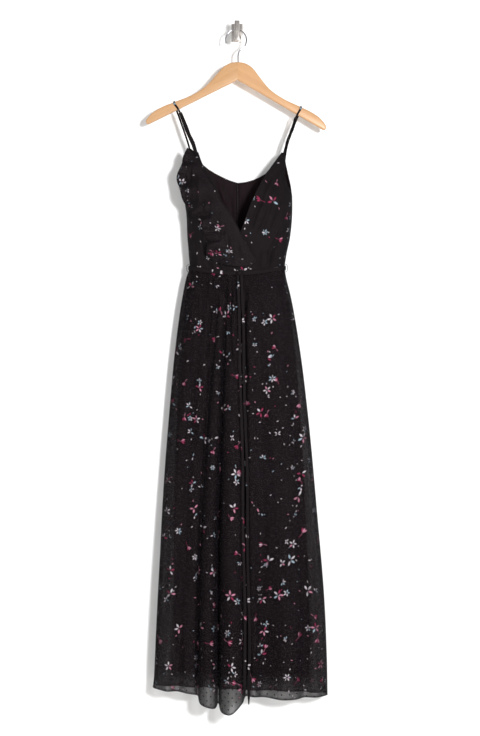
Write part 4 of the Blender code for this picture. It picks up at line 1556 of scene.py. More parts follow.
@dataclass
class Straps:
    """Thin shoulder straps: a folded front part, and a narrow loop over the hanger."""

    finishes: Finishes
    hanger: Hanger
    wide: float = 0.0100
    narrow: float = 0.0046
    shell: float = 0.0014
    both: tuple[Strap, ...] = (
        Strap(
            Side.LEFT,
            -0.1500,
            (
                (-0.1358, -0.0545, -0.2048),
                (-0.1244, -0.0575, -0.2343),
                (-0.1157, -0.0605, -0.2573),
                (-0.1051, -0.0637, -0.2806),
                (-0.0976, -0.0692, -0.3060),
            ),
            0.0,
            (-0.1150, -0.0343, -0.2864),
        ),
        Strap(
            Side.RIGHT,
            0.1545,
            (
                (0.1400, -0.0545, -0.2165),
                (0.1347, -0.0553, -0.2372),
                (0.1270, -0.0562, -0.2574),
                (0.1203, -0.0585, -0.2758),
                (0.1138, -0.0630, -0.3040),
            ),
            math.radians(-35.0),
            (0.1133, -0.0343, -0.2964),
        ),
    )

    def narrow_line(self, strap: Strap) -> tuple[np.ndarray, Vector]:
        """The narrow loop's middle line and the way its width lies.

        Args:
            strap: The strap.

        Returns:
            The line's points, and a direction.
        """
        frame = self.hanger.frame()
        clear = self.shell / 2 + RELIEF + 0.0005
        half = self.hanger.thickness / 2
        front_y = MIDDLE_Y - half - clear
        back_y = MIDDLE_Y + half + clear
        before, top, after = (
            frame @ Vector((at, 0.0, float(self.hanger.top_at(at))))
            for at in (strap.hangs_at - 0.004, strap.hangs_at, strap.hangs_at + 0.004)
        )
        across = (after - before).normalized()
        inward = Vector((across.z, 0.0, -across.x))
        crown = top - inward * (clear + 0.0004)
        shoulder = crown + inward * 0.0022
        wide = [Vector(point) for point in strap.wide]
        end = wide[0] + (wide[1] - wide[0]).normalized() * 0.0040
        points = [
            Vector((end.x, end.y + 0.0011, end.z)),
            end.lerp(Vector((shoulder.x, front_y, shoulder.z)), 0.5),
            Vector((shoulder.x, front_y, shoulder.z - 0.0030)),
            Vector((shoulder.x, front_y + 0.0022, shoulder.z + 0.0010)),
            Vector((crown.x, MIDDLE_Y, crown.z)),
            Vector((shoulder.x, back_y - 0.0022, shoulder.z + 0.0010)),
            Vector((shoulder.x, back_y, shoulder.z - 0.0030)),
            shoulder.lerp(Vector(strap.back_end), 0.30),
            Vector(strap.back_end),
            Vector(strap.back_end) + Vector((0.0, 0.0008, -0.0060)),
        ]
        points[7].y = back_y + 0.0004
        points[1].y = front_y
        return spline(points, 7), across

    def build(self) -> None:
        """Builds the wide and the narrow part of both straps, and their bar tacks."""
        tacks = []
        for strap in self.both:
            side = strap.side.word
            line, across = self.narrow_line(strap)
            bm = band_mesh(line, np.array([*across]), self.narrow, self.shell, (0.3, 0.9), ripple=0.00012)
            name = f"strap_narrow_{side}"
            publish(name + "_cloth", bm, self.finishes.lined, (name,))
            wide = spline([Vector(p) for p in strap.wide], 8)
            slope = Vector(strap.wide[1]) - Vector(strap.wide[0])
            slope.normalize()
            flat = Vector((-slope.z, 0.0, slope.x)).normalized()
            flat = flat * math.cos(strap.twist) + Vector((0, 1, 0)) * math.sin(strap.twist)
            shares = np.linspace(0.0, 1.0, len(wide))
            width = self.wide * (0.80 + 0.20 * ease(shares / 0.2) - 0.10 * np.sin(shares * 9.0) ** 2)
            bm = band_mesh(
                wide,
                np.array([*flat]),
                width,
                self.shell,
                (0.10 * strap.side.value, 0.05 + 0.3 * strap.side.value),
                ripple=0.00025,
            )
            name = f"strap_wide_{side}"
            publish(name + "_cloth", bm, self.finishes.lined, (name,))
            for number in range(4):
                centre = Vector(strap.wide[0]) + slope * (0.0012 + 0.0009 * number)
                reach = flat * self.narrow * 0.45
                lift = Vector((0.0, -self.shell * 0.62, 0.0))
                tacks.append(np.array([[*(centre - reach + lift)], [*(centre + reach + lift)]]))
        bm = tubes(tacks, TACK)
        publish("strap_bar_tacks", bm, self.finishes.thread)


OVER_CREASES = (
    Crease(-0.104, -0.340, -0.070, -0.500, 0.0050, 0.0018),
    Crease(-0.112, -0.410, -0.090, -0.560, 0.0038, -0.0030),
    Crease(-0.118, -0.440, -0.104, -0.565, 0.0040, 0.0028),
    Crease(-0.098, -0.450, -0.070, -0.568, 0.0042, 0.0034),
    Crease(-0.084, -0.500, -0.060, -0.574, 0.0032, -0.0034),
    Crease(-0.060, -0.440, -0.022, -0.570, 0.0050, -0.0016),
    Crease(-0.066, -0.535, -0.052, -0.575, 0.0030, 0.0034),
    Crease(-0.010, -0.480, 0.024, -0.572, 0.0050, -0.0014),
    Crease(-0.100, -0.520, -0.094, -0.574, 0.0032, 0.0030),
    Crease(-0.044, -0.545, -0.036, -0.576, 0.0028, -0.0030),
    Crease(-0.026, -0.545, -0.020, -0.576, 0.0028, 0.0028),
)
UNDER_CREASES = (
    Crease(0.108, -0.330, 0.062, -0.450, 0.0050, 0.0030),
    Crease(0.090, -0.350, 0.052, -0.440, 0.0035, -0.0028),
    Crease(0.124, -0.400, 0.078, -0.500, 0.0042, -0.0034),
    Crease(0.066, -0.410, 0.032, -0.490, 0.0040, -0.0040),
    Crease(0.084, -0.410, 0.044, -0.500, 0.0042, 0.0036),
    Crease(0.122, -0.440, 0.068, -0.545, 0.0045, 0.0040),
    Crease(0.112, -0.490, 0.088, -0.570, 0.0038, 0.0036),
    Crease(0.100, -0.505, 0.080, -0.572, 0.0030, -0.0032),
    Crease(0.076, -0.520, 0.070, -0.575, 0.0030, 0.0030),
    Crease(0.060, -0.525, 0.056, -0.575, 0.0030, -0.0028),
)
RUFFLE_CREASES = (
    Crease(-0.1080, -0.3200, -0.1050, -0.4480, 0.0034, -0.0042),
    Crease(-0.1210, -0.3300, -0.1180, -0.4300, 0.0042, 0.0036),
    Crease(-0.0930, -0.3500, -0.0960, -0.4450, 0.0040, 0.0038),
    Crease(-0.0760, -0.3900, -0.0800, -0.4560, 0.0032, -0.0046),
    Crease(-0.0600, -0.4050, -0.0660, -0.4900, 0.0044, 0.0040),
    Crease(-0.0420, -0.4400, -0.0400, -0.5080, 0.0032, -0.0044),
    Crease(-0.0820, -0.4960, -0.0380, -0.4945, 0.0036, 0.0052),
    Crease(-0.0820, -0.5070, -0.0360, -0.5045, 0.0032, -0.0050),
    Crease(-0.0640, -0.5100, -0.0560, -0.5560, 0.0036, 0.0042),
    Crease(-0.0480, -0.5100, -0.0440, -0.5600, 0.0030, -0.0036),
    Crease(-0.0290, -0.4700, -0.0270, -0.5550, 0.0040, 0.0038),
    Crease(-0.0120, -0.4850, -0.0080, -0.5600, 0.0032, -0.0036),
    Crease(0.0060, -0.5000, 0.0120, -0.5600, 0.0040, 0.0034),
)
BACK_CREASES = (
    Crease(-0.100, -0.390, -0.060, -0.500, 0.0070, 0.0022),
    Crease(-0.086, -0.440, -0.070, -0.570, 0.0060, -0.0019),
    Crease(-0.040, -0.420, -0.030, -0.565, 0.0060, 0.0021),
    Crease(0.098, -0.400, 0.056, -0.520, 0.0070, 0.0022),
    Crease(0.080, -0.460, 0.074, -0.572, 0.0055, -0.0019),
    Crease(0.036, -0.430, 0.028, -0.570, 0.0060, 0.0019),
)
LINING_CREASES = (
    Crease(-0.0470, -0.368, -0.0140, -0.436, 0.0030, -0.0026),
    Crease(-0.0600, -0.350, -0.0380, -0.430, 0.0060, 0.0019),
    Crease(0.0250, -0.385, 0.0120, -0.450, 0.0040, -0.0018),
    Crease(0.0600, -0.370, 0.0400, -0.470, 0.0060, 0.0018),
    Crease(-0.0240, -0.380, -0.0160, -0.520, 0.0050, 0.0016),
)


@dataclass
class Bodice:
    """Two crossing front panels, a back in two halves and the lining that shows in the V."""

    finishes: Finishes
    tube: Tube
    rows: int = 90
    columns: int = 90
    lining_in: float = 0.0021
    zip_gap: float = 0.0056
    over_armhole: tuple[Edge, ...] = (
        Edge(-0.302, -0.1035),
        Edge(-0.335, -0.1080),
        Edge(-0.370, -0.1160),
        Edge(UNDERARM_Z, -0.1270),
    )
    over_neck: tuple[Edge, ...] = (
        Edge(-0.302, -0.0930),
        Edge(-0.329, -0.0835),
        Edge(-0.378, -0.0555),
        Edge(-0.432, -0.0319),
        Edge(-0.492, 0.0013),
        Edge(-0.536, 0.0320),
        Edge(-0.580, 0.0605),
    )
    under_armhole: tuple[Edge, ...] = (
        Edge(-0.301, 0.1180),
        Edge(-0.335, 0.1135),
        Edge(-0.370, 0.1160),
        Edge(UNDERARM_Z, 0.1316),
    )
    under_neck: tuple[Edge, ...] = (
        Edge(-0.301, 0.1070),
        Edge(-0.351, 0.0724),
        Edge(-0.408, 0.0416),
        Edge(-0.491, 0.0060),
        Edge(-0.580, -0.0510),
    )
    back_top: tuple[TopEdge, ...] = (
        TopEdge(0.00, UNDERARM_Z, UNDERARM_Z),
        TopEdge(0.05, -0.3380, -0.3450),
        TopEdge(0.10, -0.2870, -0.2970),
        TopEdge(0.14, -0.2890, -0.2985),
        TopEdge(0.23, -0.3050, -0.3100),
        TopEdge(0.30, -0.3160, -0.3205),
        TopEdge(0.37, -0.3250, -0.3310),
        TopEdge(0.48, -0.3360, -0.3460),
        TopEdge(0.60, -0.3455, -0.3545),
        TopEdge(0.72, -0.3535, -0.3610),
        TopEdge(0.86, -0.3620, -0.3660),
        TopEdge(1.00, -0.3680, -0.3680),
    )

    def front_panel(self, over: bool) -> np.ndarray:
        """Points of a front panel, row by row down to the waist seam.

        Args:
            over: True for the panel that crosses over the other.

        Returns:
            Rows by columns by 3, from the side seam or armhole to the neck edge.
        """
        armhole = self.over_armhole if over else self.under_armhole
        neck = self.over_neck if over else self.under_neck
        top = neck[0].z
        grid = []
        for z in top + (WAIST_Z + RELIEF - top) * np.linspace(0.0, 1.0, self.rows):
            ring = self.tube.half_ring(z, Face.FRONT, out=self.tube.over_out if over else 0.0)
            lengths = run_lengths(ring)
            at_neck = np.interp(column_at(neck, "x", z), ring[:, 0], lengths)
            at_side = np.interp(column_at(armhole, "x", z), ring[:, 0], lengths)
            if z <= UNDERARM_Z:
                at_side = SEAM_GAP / 2 if over else lengths[-1] - SEAM_GAP / 2
            shares = np.linspace(0.0, 1.0, self.columns)
            row = stretch(ring, at_side, at_neck, shares - 0.10 * np.sin(math.pi * shares))
            row[:, 1] -= self.tube.bust(row[:, 0], z) + self.tube.drape(row[:, 0], z)
            grid.append(row)
        points = np.array(grid)
        keep = ease((0.121 - abs(points[..., 0])) / 0.02) * ease((-0.31 - points[..., 2]) / 0.03)
        creases = OVER_CREASES if over else UNDER_CREASES
        points = creased(points, creases, Face.FRONT, keep)
        points[..., 2] -= self.tube.sag(points[..., 0], points[..., 2])
        return points

    def back_panel(self, side: Side, inward: float, centre_gap: float) -> np.ndarray:
        """Points of one half of the back, from the side seam to the centre seam.

        Args:
            side: Which half.
            inward: How far inside the outer cloth it lies.
            centre_gap: The gap between both halves.

        Returns:
            Rows by columns by 3.
        """
        left = side is Side.LEFT
        table = [row.share for row in self.back_top]
        shares = np.unique(np.concatenate([table, np.linspace(0.0, 1.0, 46)]))
        tops = np.interp(shares, table, [r.z_left if left else r.z_right for r in self.back_top])
        tops = tops - (0.001 if inward > 0.0 else 0.0)
        count = 60
        grid = np.zeros((count, len(shares), 3))
        for c, (share, top) in enumerate(zip(shares, tops)):
            for r, down in enumerate(np.linspace(0.0, 1.0, count)):
                z = top + (WAIST_Z + RELIEF - top) * down
                grid[r, c] = self.tube.back_row(z, side, inward, centre_gap, [share])[0]
        keep = ease(shares / 0.15) * ease((1.0 - shares) / 0.10)
        creases = LINING_CREASES if inward > 0.0 else BACK_CREASES
        share_kept = keep[None, :] * ease(np.linspace(0.0, 1.0, count) / 0.1)[:, None]
        return creased(grid, creases, Face.BACK, share_kept)

    def build(self) -> None:
        """Builds the panels, their bindings and the seams."""
        over = self.front_panel(True)
        under = self.front_panel(False)
        lift = np.array([0.0, -0.0003, 0.0])
        lined = self.finishes.lined
        for name, points, shift in (
            ("bodice_front_over", over, (0.02, 0.0)),
            ("bodice_front_under", under, (0.31, 0.43)),
        ):
            cut = cut_of(points, shift)
            if name.endswith("under"):
                cut[..., 0] = 2 * shift[0] - cut[..., 0]
            lines = [points[:, -1] + lift, points[points[:, 0, 2] > UNDERARM_Z - 0.004, 0]]
            trims = (Trim("binding", lines, FRONT_BINDING, self.finishes.hem),)
            cloth_panel(name, points, cut, lined, Face.FRONT, trims)
        for side in Side:
            word = side.word
            points = self.back_panel(side, 0.0, SEAM_GAP)
            cut = cut_of(points, (0.55, 0.2 + 0.3 * side.value))
            if side is Side.RIGHT:
                cut[..., 0] = 1.1 - cut[..., 0]
            name = f"bodice_back_{word}"
            lines = [points[0], points[:, -1] + [0.0, 0.0004, 0.0]]
            trims = (Trim("binding", lines, BACK_BINDING, self.finishes.hem),)
            cloth_panel(name, points, cut, lined, Face.BACK, trims)
            points = self.back_panel(side, self.lining_in, self.zip_gap)
            cut = cut_of(points, (0.0, 0.0))
            inner, lining = f"bodice_lining_{word}", self.finishes.lining
            cloth_panel(inner, points, cut, lining, Face.BACK, thickness=LINING_SHELL)
        z = np.linspace(UNDERARM_Z - 0.001, WAIST_Z + 0.002, 40)
        y = np.full_like(z, MIDDLE_Y)
        seams = [np.stack([column_at(self.tube.levels, side.word, z), y, z], axis=1) for side in Side]
        publish("bodice_side_seams", tubes(seams, SIDE_SEAM), self.finishes.hem)


@dataclass
class Ruffle:
    """A flounce along the crossing panel's neck edge, with a narrow rolled hem."""

    finishes: Finishes
    tube: Tube
    clear: float = 0.0024
    least_gap: float = 0.0009
    waves: float = 6.5
    height: float = 0.015
    sway: float = 0.0025
    columns: int = 300
    rows: int = 30
    belt_width: float = 0.011
    table: tuple[Flounce, ...] = (
        Flounce(0.00, -0.1095, -0.3011, -0.1187, -0.2918),
        Flounce(0.07, -0.0929, -0.3225, -0.1270, -0.3108),
        Flounce(0.16, -0.0846, -0.3368, -0.1341, -0.3369),
        Flounce(0.27, -0.0691, -0.3605, -0.1424, -0.3772),
        Flounce(0.36, -0.0536, -0.3879, -0.1282, -0.4104),
        Flounce(0.48, -0.0382, -0.4200, -0.1116, -0.4483),
        Flounce(0.60, -0.0215, -0.4438, -0.0879, -0.4638),
        Flounce(0.72, -0.0049, -0.4652, -0.0748, -0.5029),
        Flounce(0.82, 0.0094, -0.4902, -0.0677, -0.5385),
        Flounce(0.90, 0.0236, -0.5139, -0.0452, -0.5563),
        Flounce(1.00, 0.0451, -0.5496, 0.0307, -0.5610),
    )

    def points(self) -> np.ndarray:
        """Rows from its seam to its free edge, columns along it.

        Returns:
            Rows by columns by 3.
        """
        shares = np.linspace(0.0, 1.0, self.columns)
        knots = [row.share for row in self.table]
        lines = {
            column: smooth_through(knots, [getattr(row, column) for row in self.table], shares)
            for column in ("seam_x", "seam_z", "edge_x", "edge_z")
        }
        phase = TAU * self.waves * shares + 0.6
        height = self.height * ease(shares / 0.10) * (1.0 - 0.55 * ease((shares - 0.8) / 0.2))
        fine = np.sin(shares * 310.0 + 2.2 * np.sin(shares * 57.0))
        grid = np.zeros((self.rows, self.columns, 3))
        level = np.zeros((self.rows, self.columns))
        for r, down in enumerate(np.linspace(0.0, 1.0, self.rows)):
            gather = 0.0009 * fine * math.exp(-(((down - 0.12) / 0.16) ** 2)) * ease(down / 0.05)
            curl = 0.0012 * np.sin(shares * 143.0 + 1.3) * ease((down - 0.7) / 0.3)
            for c in range(self.columns):
                x = lines["seam_x"][c] * (1 - down) + lines["edge_x"][c] * down
                z = lines["seam_z"][c] * (1 - down) + lines["edge_z"][c] * down
                swing = height[c] * down**1.2
                x += self.sway * down * math.cos(phase[c]) * ease(shares[c] / 0.2)
                z += 0.5 * self.sway * down * math.cos(phase[c])
                z = max(z, WAIST_Z + self.belt_width)
                level[r, c] = self.tube.over_y(x, z)
                y = level[r, c] - self.clear
                y -= swing * (0.5 + 0.5 * math.sin(phase[c])) + abs(gather[c]) + abs(curl[c])
                grid[r, c] = (x, y, z)
        level -= crease_rise(grid, OVER_CREASES).clip(0.0) + self.least_gap
        keep = ease(np.linspace(0.0, 1.0, self.rows) / 0.12)[:, None]
        grid = creased(grid, RUFFLE_CREASES, Face.FRONT, keep)
        grid[..., 1] = np.minimum(grid[..., 1], level)
        grid[..., 2] -= self.tube.sag(grid[..., 0], grid[..., 2])
        return grid

    def build(self) -> None:
        """Builds the flounce and the rolls along its seam and its free edge."""
        points = self.points()
        cut = cut_of(points, (0.71, 0.33), 150, level=False)
        edges = [points[-1], points[:, 0], points[:, -1]]
        seam = [points[0] + [0.0, -0.0004, 0.0]]
        trims = (
            Trim("rolled_hem", edges, FLOUNCE_HEM, self.finishes.hem),
            Trim("seam", seam, SEAM_ROLL, self.finishes.hem),
        )
        cloth_panel(
            "ruffle", points, cut, self.finishes.ruffle, Face.FRONT,
            trims,
        )


SKIRT_FOLDS = (
    Fold(-0.1105, -0.1690, -0.1985, 0.010, 0.013, 0.015, 0.0000),
    Fold(-0.0990, -0.1560, -0.1840, 0.021, 0.027, 0.030, 0.0000),
    Fold(-0.0880, -0.1400, -0.1660, 0.026, 0.036, 0.043, 0.0000),
    Fold(-0.0740, -0.1200, -0.1430, 0.026, 0.030, 0.032, 0.0010),
    Fold(-0.0610, -0.1000, -0.1180, 0.031, 0.037, 0.043, 0.0025),
    Fold(-0.0480, -0.0885, -0.1010, 0.033, 0.036, 0.041, 0.0050),
    Fold(-0.0385, -0.0805, -0.0930, 0.029, 0.027, 0.0290, 0.0100),
    Fold(-0.0325, -0.0735, -0.0865, 0.034, 0.041, 0.050, 0.0240),
    Fold(-0.0290, -0.0600, -0.0690, 0.033, 0.048, 0.062, 0.0290),
    Fold(-0.0255, -0.0490, -0.0530, 0.032, 0.043, 0.054, 0.0320),
    Fold(-0.0220, -0.0410, -0.0445, 0.031, 0.026, 0.030, 0.0250),
    Fold(-0.0170, -0.0335, -0.0360, 0.034, 0.045, 0.056, 0.0400),
    Fold(-0.0060, -0.0130, -0.0150, 0.037, 0.056, 0.072, 0.0410),
    Fold(0.0050, 0.0100, 0.0120, 0.035, 0.048, 0.060, 0.0160),
    Fold(0.0140, 0.0190, 0.0210, 0.030, 0.031, 0.033, 0.0050),
    Fold(0.0250, 0.0330, 0.0400, 0.034, 0.039, 0.043, 0.0040),
    Fold(0.0430, 0.0600, 0.0640, 0.034, 0.030, 0.029, 0.0060),
    Fold(0.0660, 0.0980, 0.1080, 0.033, 0.041, 0.047, 0.0070),
    Fold(0.0860, 0.1300, 0.1400, 0.028, 0.036, 0.040, 0.0055),
    Fold(0.0970, 0.1500, 0.1600, 0.020, 0.025, 0.026, 0.0030),
    Fold(0.1010, 0.1660, 0.1880, 0.018, 0.027, 0.033, 0.0005),
    Fold(0.1105, 0.1790, 0.2090, 0.009, 0.013, 0.016, 0.0000),
)
SKIRT_FRONT_CREASES = (
    Crease(-0.0425, -0.594, -0.0640, -0.870, 0.0046, -0.0062),
    Crease(-0.0290, -0.596, -0.0360, -0.800, 0.0050, 0.0034),
    Crease(-0.0060, -0.600, -0.0030, -0.850, 0.0036, -0.0052),
    Crease(0.0285, -0.600, 0.0320, -0.880, 0.0042, -0.0052),
    Crease(-0.0840, -0.600, -0.1010, -0.900, 0.0040, -0.0048),
    Crease(-0.098, -0.595, -0.135, -0.800, 0.0060, 0.0026),
    Crease(-0.078, -0.592, -0.096, -0.720, 0.0040, -0.0016),
    Crease(-0.058, -0.594, -0.084, -0.880, 0.0050, 0.0022),
    Crease(-0.012, -0.604, -0.022, -0.770, 0.0040, 0.0020),
    Crease(0.012, -0.604, 0.016, -0.730, 0.0040, -0.0016),
    Crease(0.030, -0.600, 0.044, -0.830, 0.0060, 0.0024),
    Crease(0.050, -0.598, 0.066, -0.710, 0.0040, -0.0018),
    Crease(0.060, -0.598, 0.100, -0.950, 0.0070, 0.0030),
    Crease(0.082, -0.594, 0.116, -0.770, 0.0045, 0.0020),
    Crease(-0.150, -0.880, -0.176, -1.500, 0.0080, 0.0032),
    Crease(-0.128, -1.000, -0.152, -1.570, 0.0060, -0.0022),
    Crease(-0.103, -0.850, -0.110, -1.360, 0.0060, 0.0026),
    Crease(-0.066, -1.050, -0.070, -1.500, 0.0050, -0.0020),
    Crease(-0.016, -0.950, -0.022, -1.480, 0.0060, -0.0022),
    Crease(0.004, -1.150, 0.006, -1.590, 0.0050, 0.0022),
    Crease(0.040, -0.900, 0.048, -1.560, 0.0070, 0.0028),
    Crease(0.084, -1.000, 0.094, -1.570, 0.0080, 0.0034),
    Crease(0.120, -0.850, 0.134, -1.330, 0.0060, -0.0022),
    Crease(0.135, -1.100, 0.166, -1.580, 0.0070, 0.0030),
    Crease(0.072, -1.250, 0.074, -1.600, 0.0060, -0.0024),
    Crease(-0.132, -1.420, -0.130, -1.600, 0.0090, 0.0034),
    Crease(0.124, -1.430, 0.122, -1.610, 0.0090, 0.0032),
)
SKIRT_BACK_CREASES = (
    Crease(-0.096, -0.594, -0.130, -0.860, 0.0060, 0.0020),
    Crease(-0.070, -0.592, -0.082, -0.740, 0.0045, -0.0015),
    Crease(-0.046, -0.594, -0.060, -0.950, 0.0060, 0.0022),
    Crease(-0.020, -0.594, -0.026, -0.800, 0.0045, -0.0014),
    Crease(0.024, -0.594, 0.032, -0.900, 0.0055, 0.0020),
    Crease(0.050, -0.592, 0.062, -0.760, 0.0045, -0.0015),
    Crease(0.076, -0.594, 0.104, -0.980, 0.0065, 0.0024),
    Crease(0.098, -0.594, 0.130, -0.780, 0.0045, -0.0014),
    Crease(-0.120, -0.950, -0.140, -1.560, 0.0080, 0.0026),
    Crease(-0.085, -1.100, -0.092, -1.580, 0.0070, -0.0020),
    Crease(-0.050, -1.000, -0.055, -1.500, 0.0080, 0.0026),
    Crease(0.040, -1.050, 0.048, -1.580, 0.0080, 0.0026),
    Crease(0.090, -0.950, 0.106, -1.500, 0.0070, -0.0020),
    Crease(0.140, -1.050, 0.160, -1.580, 0.0080, 0.0024),
)


@dataclass
class Skirt:
    """The sheer overskirt: a folded front, and a back in two halves."""

    finishes: Finishes
    tube: Tube
    front_rows: int = 150
    per_span: int = 9
    back_rows: int = 120
    back_columns: int = 80
    fold_start: float = 0.05
    hem_back_drop: float = 0.006
    back_folds: float = 3.5
    back_fold_height: float = 0.0045

    def front_grid(self) -> np.ndarray:
        """Points of the front, waist to hem, left side seam to right.

        Returns:
            Rows by columns by 3.
        """
        t = np.linspace(0.0, 1.0, self.front_rows) ** 1.2
        ring = self.tube.half_ring(WAIST_Z, Face.FRONT, out=self.tube.over_out / 2)
        start = ease(t / self.fold_start)
        columns = []
        for fold in SKIRT_FOLDS:
            at_waist = MIDDLE_Y - y_on(ring, fold.x_waist)
            x = three_point(fold.x_waist, fold.x_mid, fold.x_hem, t)
            out = three_point(fold.out_waist, fold.out_mid, fold.out_hem, t)
            out = at_waist * (1.0 - start) + out * start
            top = WAIST_Z - RELIEF - float(self.tube.sag(fold.x_waist, WAIST_Z))
            z = top + (HEM_Z - top) * t - fold.drop * t**2
            columns.append(np.stack([x, MIDDLE_Y - out, z], axis=1))
        z_side = WAIST_Z - RELIEF + (HEM_Z - WAIST_Z) * t
        y_side = np.full_like(t, MIDDLE_Y - SEAM_GAP / 2)
        edges = [
            np.stack([column_at(self.tube.levels, side, z_side), y_side, z_side], axis=1)
            for side in ("left", "right")
        ]
        knots = np.stack([edges[0], *columns, edges[1]], axis=1)
        grid = spline_rows(knots, self.per_span, (1.0, -1.0, 1.0))
        grid[..., 2] -= HEM_LEAN * grid[..., 0] * t[:, None]
        depth = ease((MIDDLE_Y - grid[..., 1]) / 0.01)
        near = np.exp(-(((t - 0.035) / 0.035) ** 2)) * ease(t / 0.02)
        wide = np.sin(grid[..., 0] * math.pi / 0.012) ** 2
        fine = np.sin(grid[..., 0] * TAU / 0.0071 + 2.0 * np.sin(grid[..., 0] * 160.0))
        grid[..., 1] -= near[:, None] * depth * (0.0026 * wide + 0.0009 * fine)
        keep = depth * ease(t / 0.015)[:, None]
        return creased(grid, SKIRT_FRONT_CREASES, Face.FRONT, keep)

    def back_grid(self, side: Side) -> np.ndarray:
        """Points of one half of the back, from its side seam to the centre seam.

        Args:
            side: Which half.

        Returns:
            Rows by columns by 3.
        """
        grid = []
        shares = np.linspace(0.0, 1.0, self.back_columns)
        edges = ease(shares / 0.15) * ease((1.0 - shares) / 0.18)
        for t in np.linspace(0.0, 1.0, self.back_rows) ** 1.1:
            z = WAIST_Z - RELIEF + (HEM_Z - WAIST_Z) * t
            row = self.tube.back_row(z, side, 0.0, SEAM_GAP, shares)
            wave = np.sin(TAU * self.back_folds * (shares + 0.05 * np.sin(5.0 * shares)))
            row[:, 1] += self.back_fold_height * ease(t / 0.6) * wave * edges
            near = math.exp(-(((t - 0.03) / 0.03) ** 2)) * ease(t / 0.02)
            row[:, 1] += 0.0009 * near * np.sin(row[:, 0] * TAU / 0.0083) * edges
            drop = self.hem_back_drop * np.sin(shares * math.pi / 2)
            row[:, 2] -= (HEM_LEAN * row[:, 0] + drop) * t
            grid.append(row)
        points = np.array(grid)
        return creased(points, SKIRT_BACK_CREASES, Face.BACK, edges[None, :])

    def build(self) -> np.ndarray:
        """Builds the front, the back, the rolled hem and the seams.

        Returns:
            The front's points, which the belt's ends hang on.
        """
        front = self.front_grid()
        cut = cut_of(front, (0.4, 0.9), front.shape[1] // 2)
        sheer, hem = self.finishes.sheer, self.finishes.hem
        trims = (Trim("rolled_hem", [front[-1]], FRONT_HEM, hem),)
        cloth_panel(
            "skirt_front", front, cut, sheer, Face.FRONT, trims
        )
        for side in Side:
            word = side.word
            points = self.back_grid(side)
            cut = cut_of(points, (1.3 + 0.4 * side.value, 0.17))
            if side is Side.RIGHT:
                cut[..., 0] = 3.4 - cut[..., 0]
            name = f"skirt_back_{word}"
            lines = [points[-1], points[:, -1] + [0.0, 0.0004, 0.0]]
            trims = (Trim("rolled_hem", lines, BACK_HEM, hem),)
            cloth_panel(name, points, cut, sheer, Face.BACK, trims)
        seams = [front[:, 0], front[:, -1]]
        publish("skirt_side_seams", tubes(seams, SEAM_ROLL), self.finishes.hem)
        return front


@dataclass
class SkirtLining:
    """The opaque lining of the skirt, narrower and shorter than the overskirt."""

    finishes: Finishes
    tube: Tube
    rows: int = 70
    columns: int = 120
    inset: float = 0.0036
    inset_hem: float = 0.044
    front_hem: float = 0.0205
    back_hem: float = 0.0225
    settles_by: float = 0.2
    wave: float = 0.0011
    wave_length: float = 0.057

    def grid(self, face: Face) -> np.ndarray:
        """Points of the lining's front or back half.

        Args:
            face: Which half.

        Returns:
            Rows by columns by 3.
        """
        grid = []
        for t in np.linspace(0.0, 1.0, self.rows):
            z = WAIST_Z - RELIEF + (LINING_HEM_Z - WAIST_Z) * t
            depth = self.front_hem if face is Face.FRONT else self.back_hem
            wall = column_at(self.tube.levels, "front" if face is Face.FRONT else "back", z)
            here = abs(float(wall) - MIDDLE_Y)
            settled = ease(t / self.settles_by)
            wanted = (here - self.inset) * (1 - settled) + depth * settled
            squeeze = self.inset + (self.inset_hem - self.inset) * t
            ring = self.tube.half_ring(z, face, wanted - here, -squeeze)
            length = run_lengths(ring)[-1]
            row = stretch(ring, SEAM_GAP / 2, length - SEAM_GAP / 2, np.linspace(0, 1, self.columns))
            if face is Face.FRONT:
                row[:, 2] -= self.tube.sag(row[:, 0], WAIST_Z) * (1.0 - t)
            row[:, 2] -= HEM_LEAN * row[:, 0] * t
            edge = ease((abs(row[:, 1] - MIDDLE_Y) - 0.003) / 0.008)
            wave = np.sin(row[:, 0] * TAU / self.wave_length + 1.7 * np.sin(row[:, 0] * 21.0 + t))
            row[:, 1] += face.value * self.wave * ease((t - 0.25) / 0.4) * wave * edge
            grid.append(row)
        return np.array(grid)

    def build(self) -> None:
        """Builds both halves, with a turned hem and its stitch line."""
        for face in Face:
            word = face.name.lower()
            points = self.grid(face)
            cut = cut_of(points, (0.0, 0.0), self.columns // 2)
            name = f"skirt_lining_{word}"
            lines = [points[-1], points[-3] + [0.0, face.value * 0.0005, 0.0]]
            trims = (Trim("hem", lines, LINING_HEM, self.finishes.thread),)
            lining = self.finishes.lining
            cloth_panel(name, points, cut, lining, face, trims, LINING_SHELL)


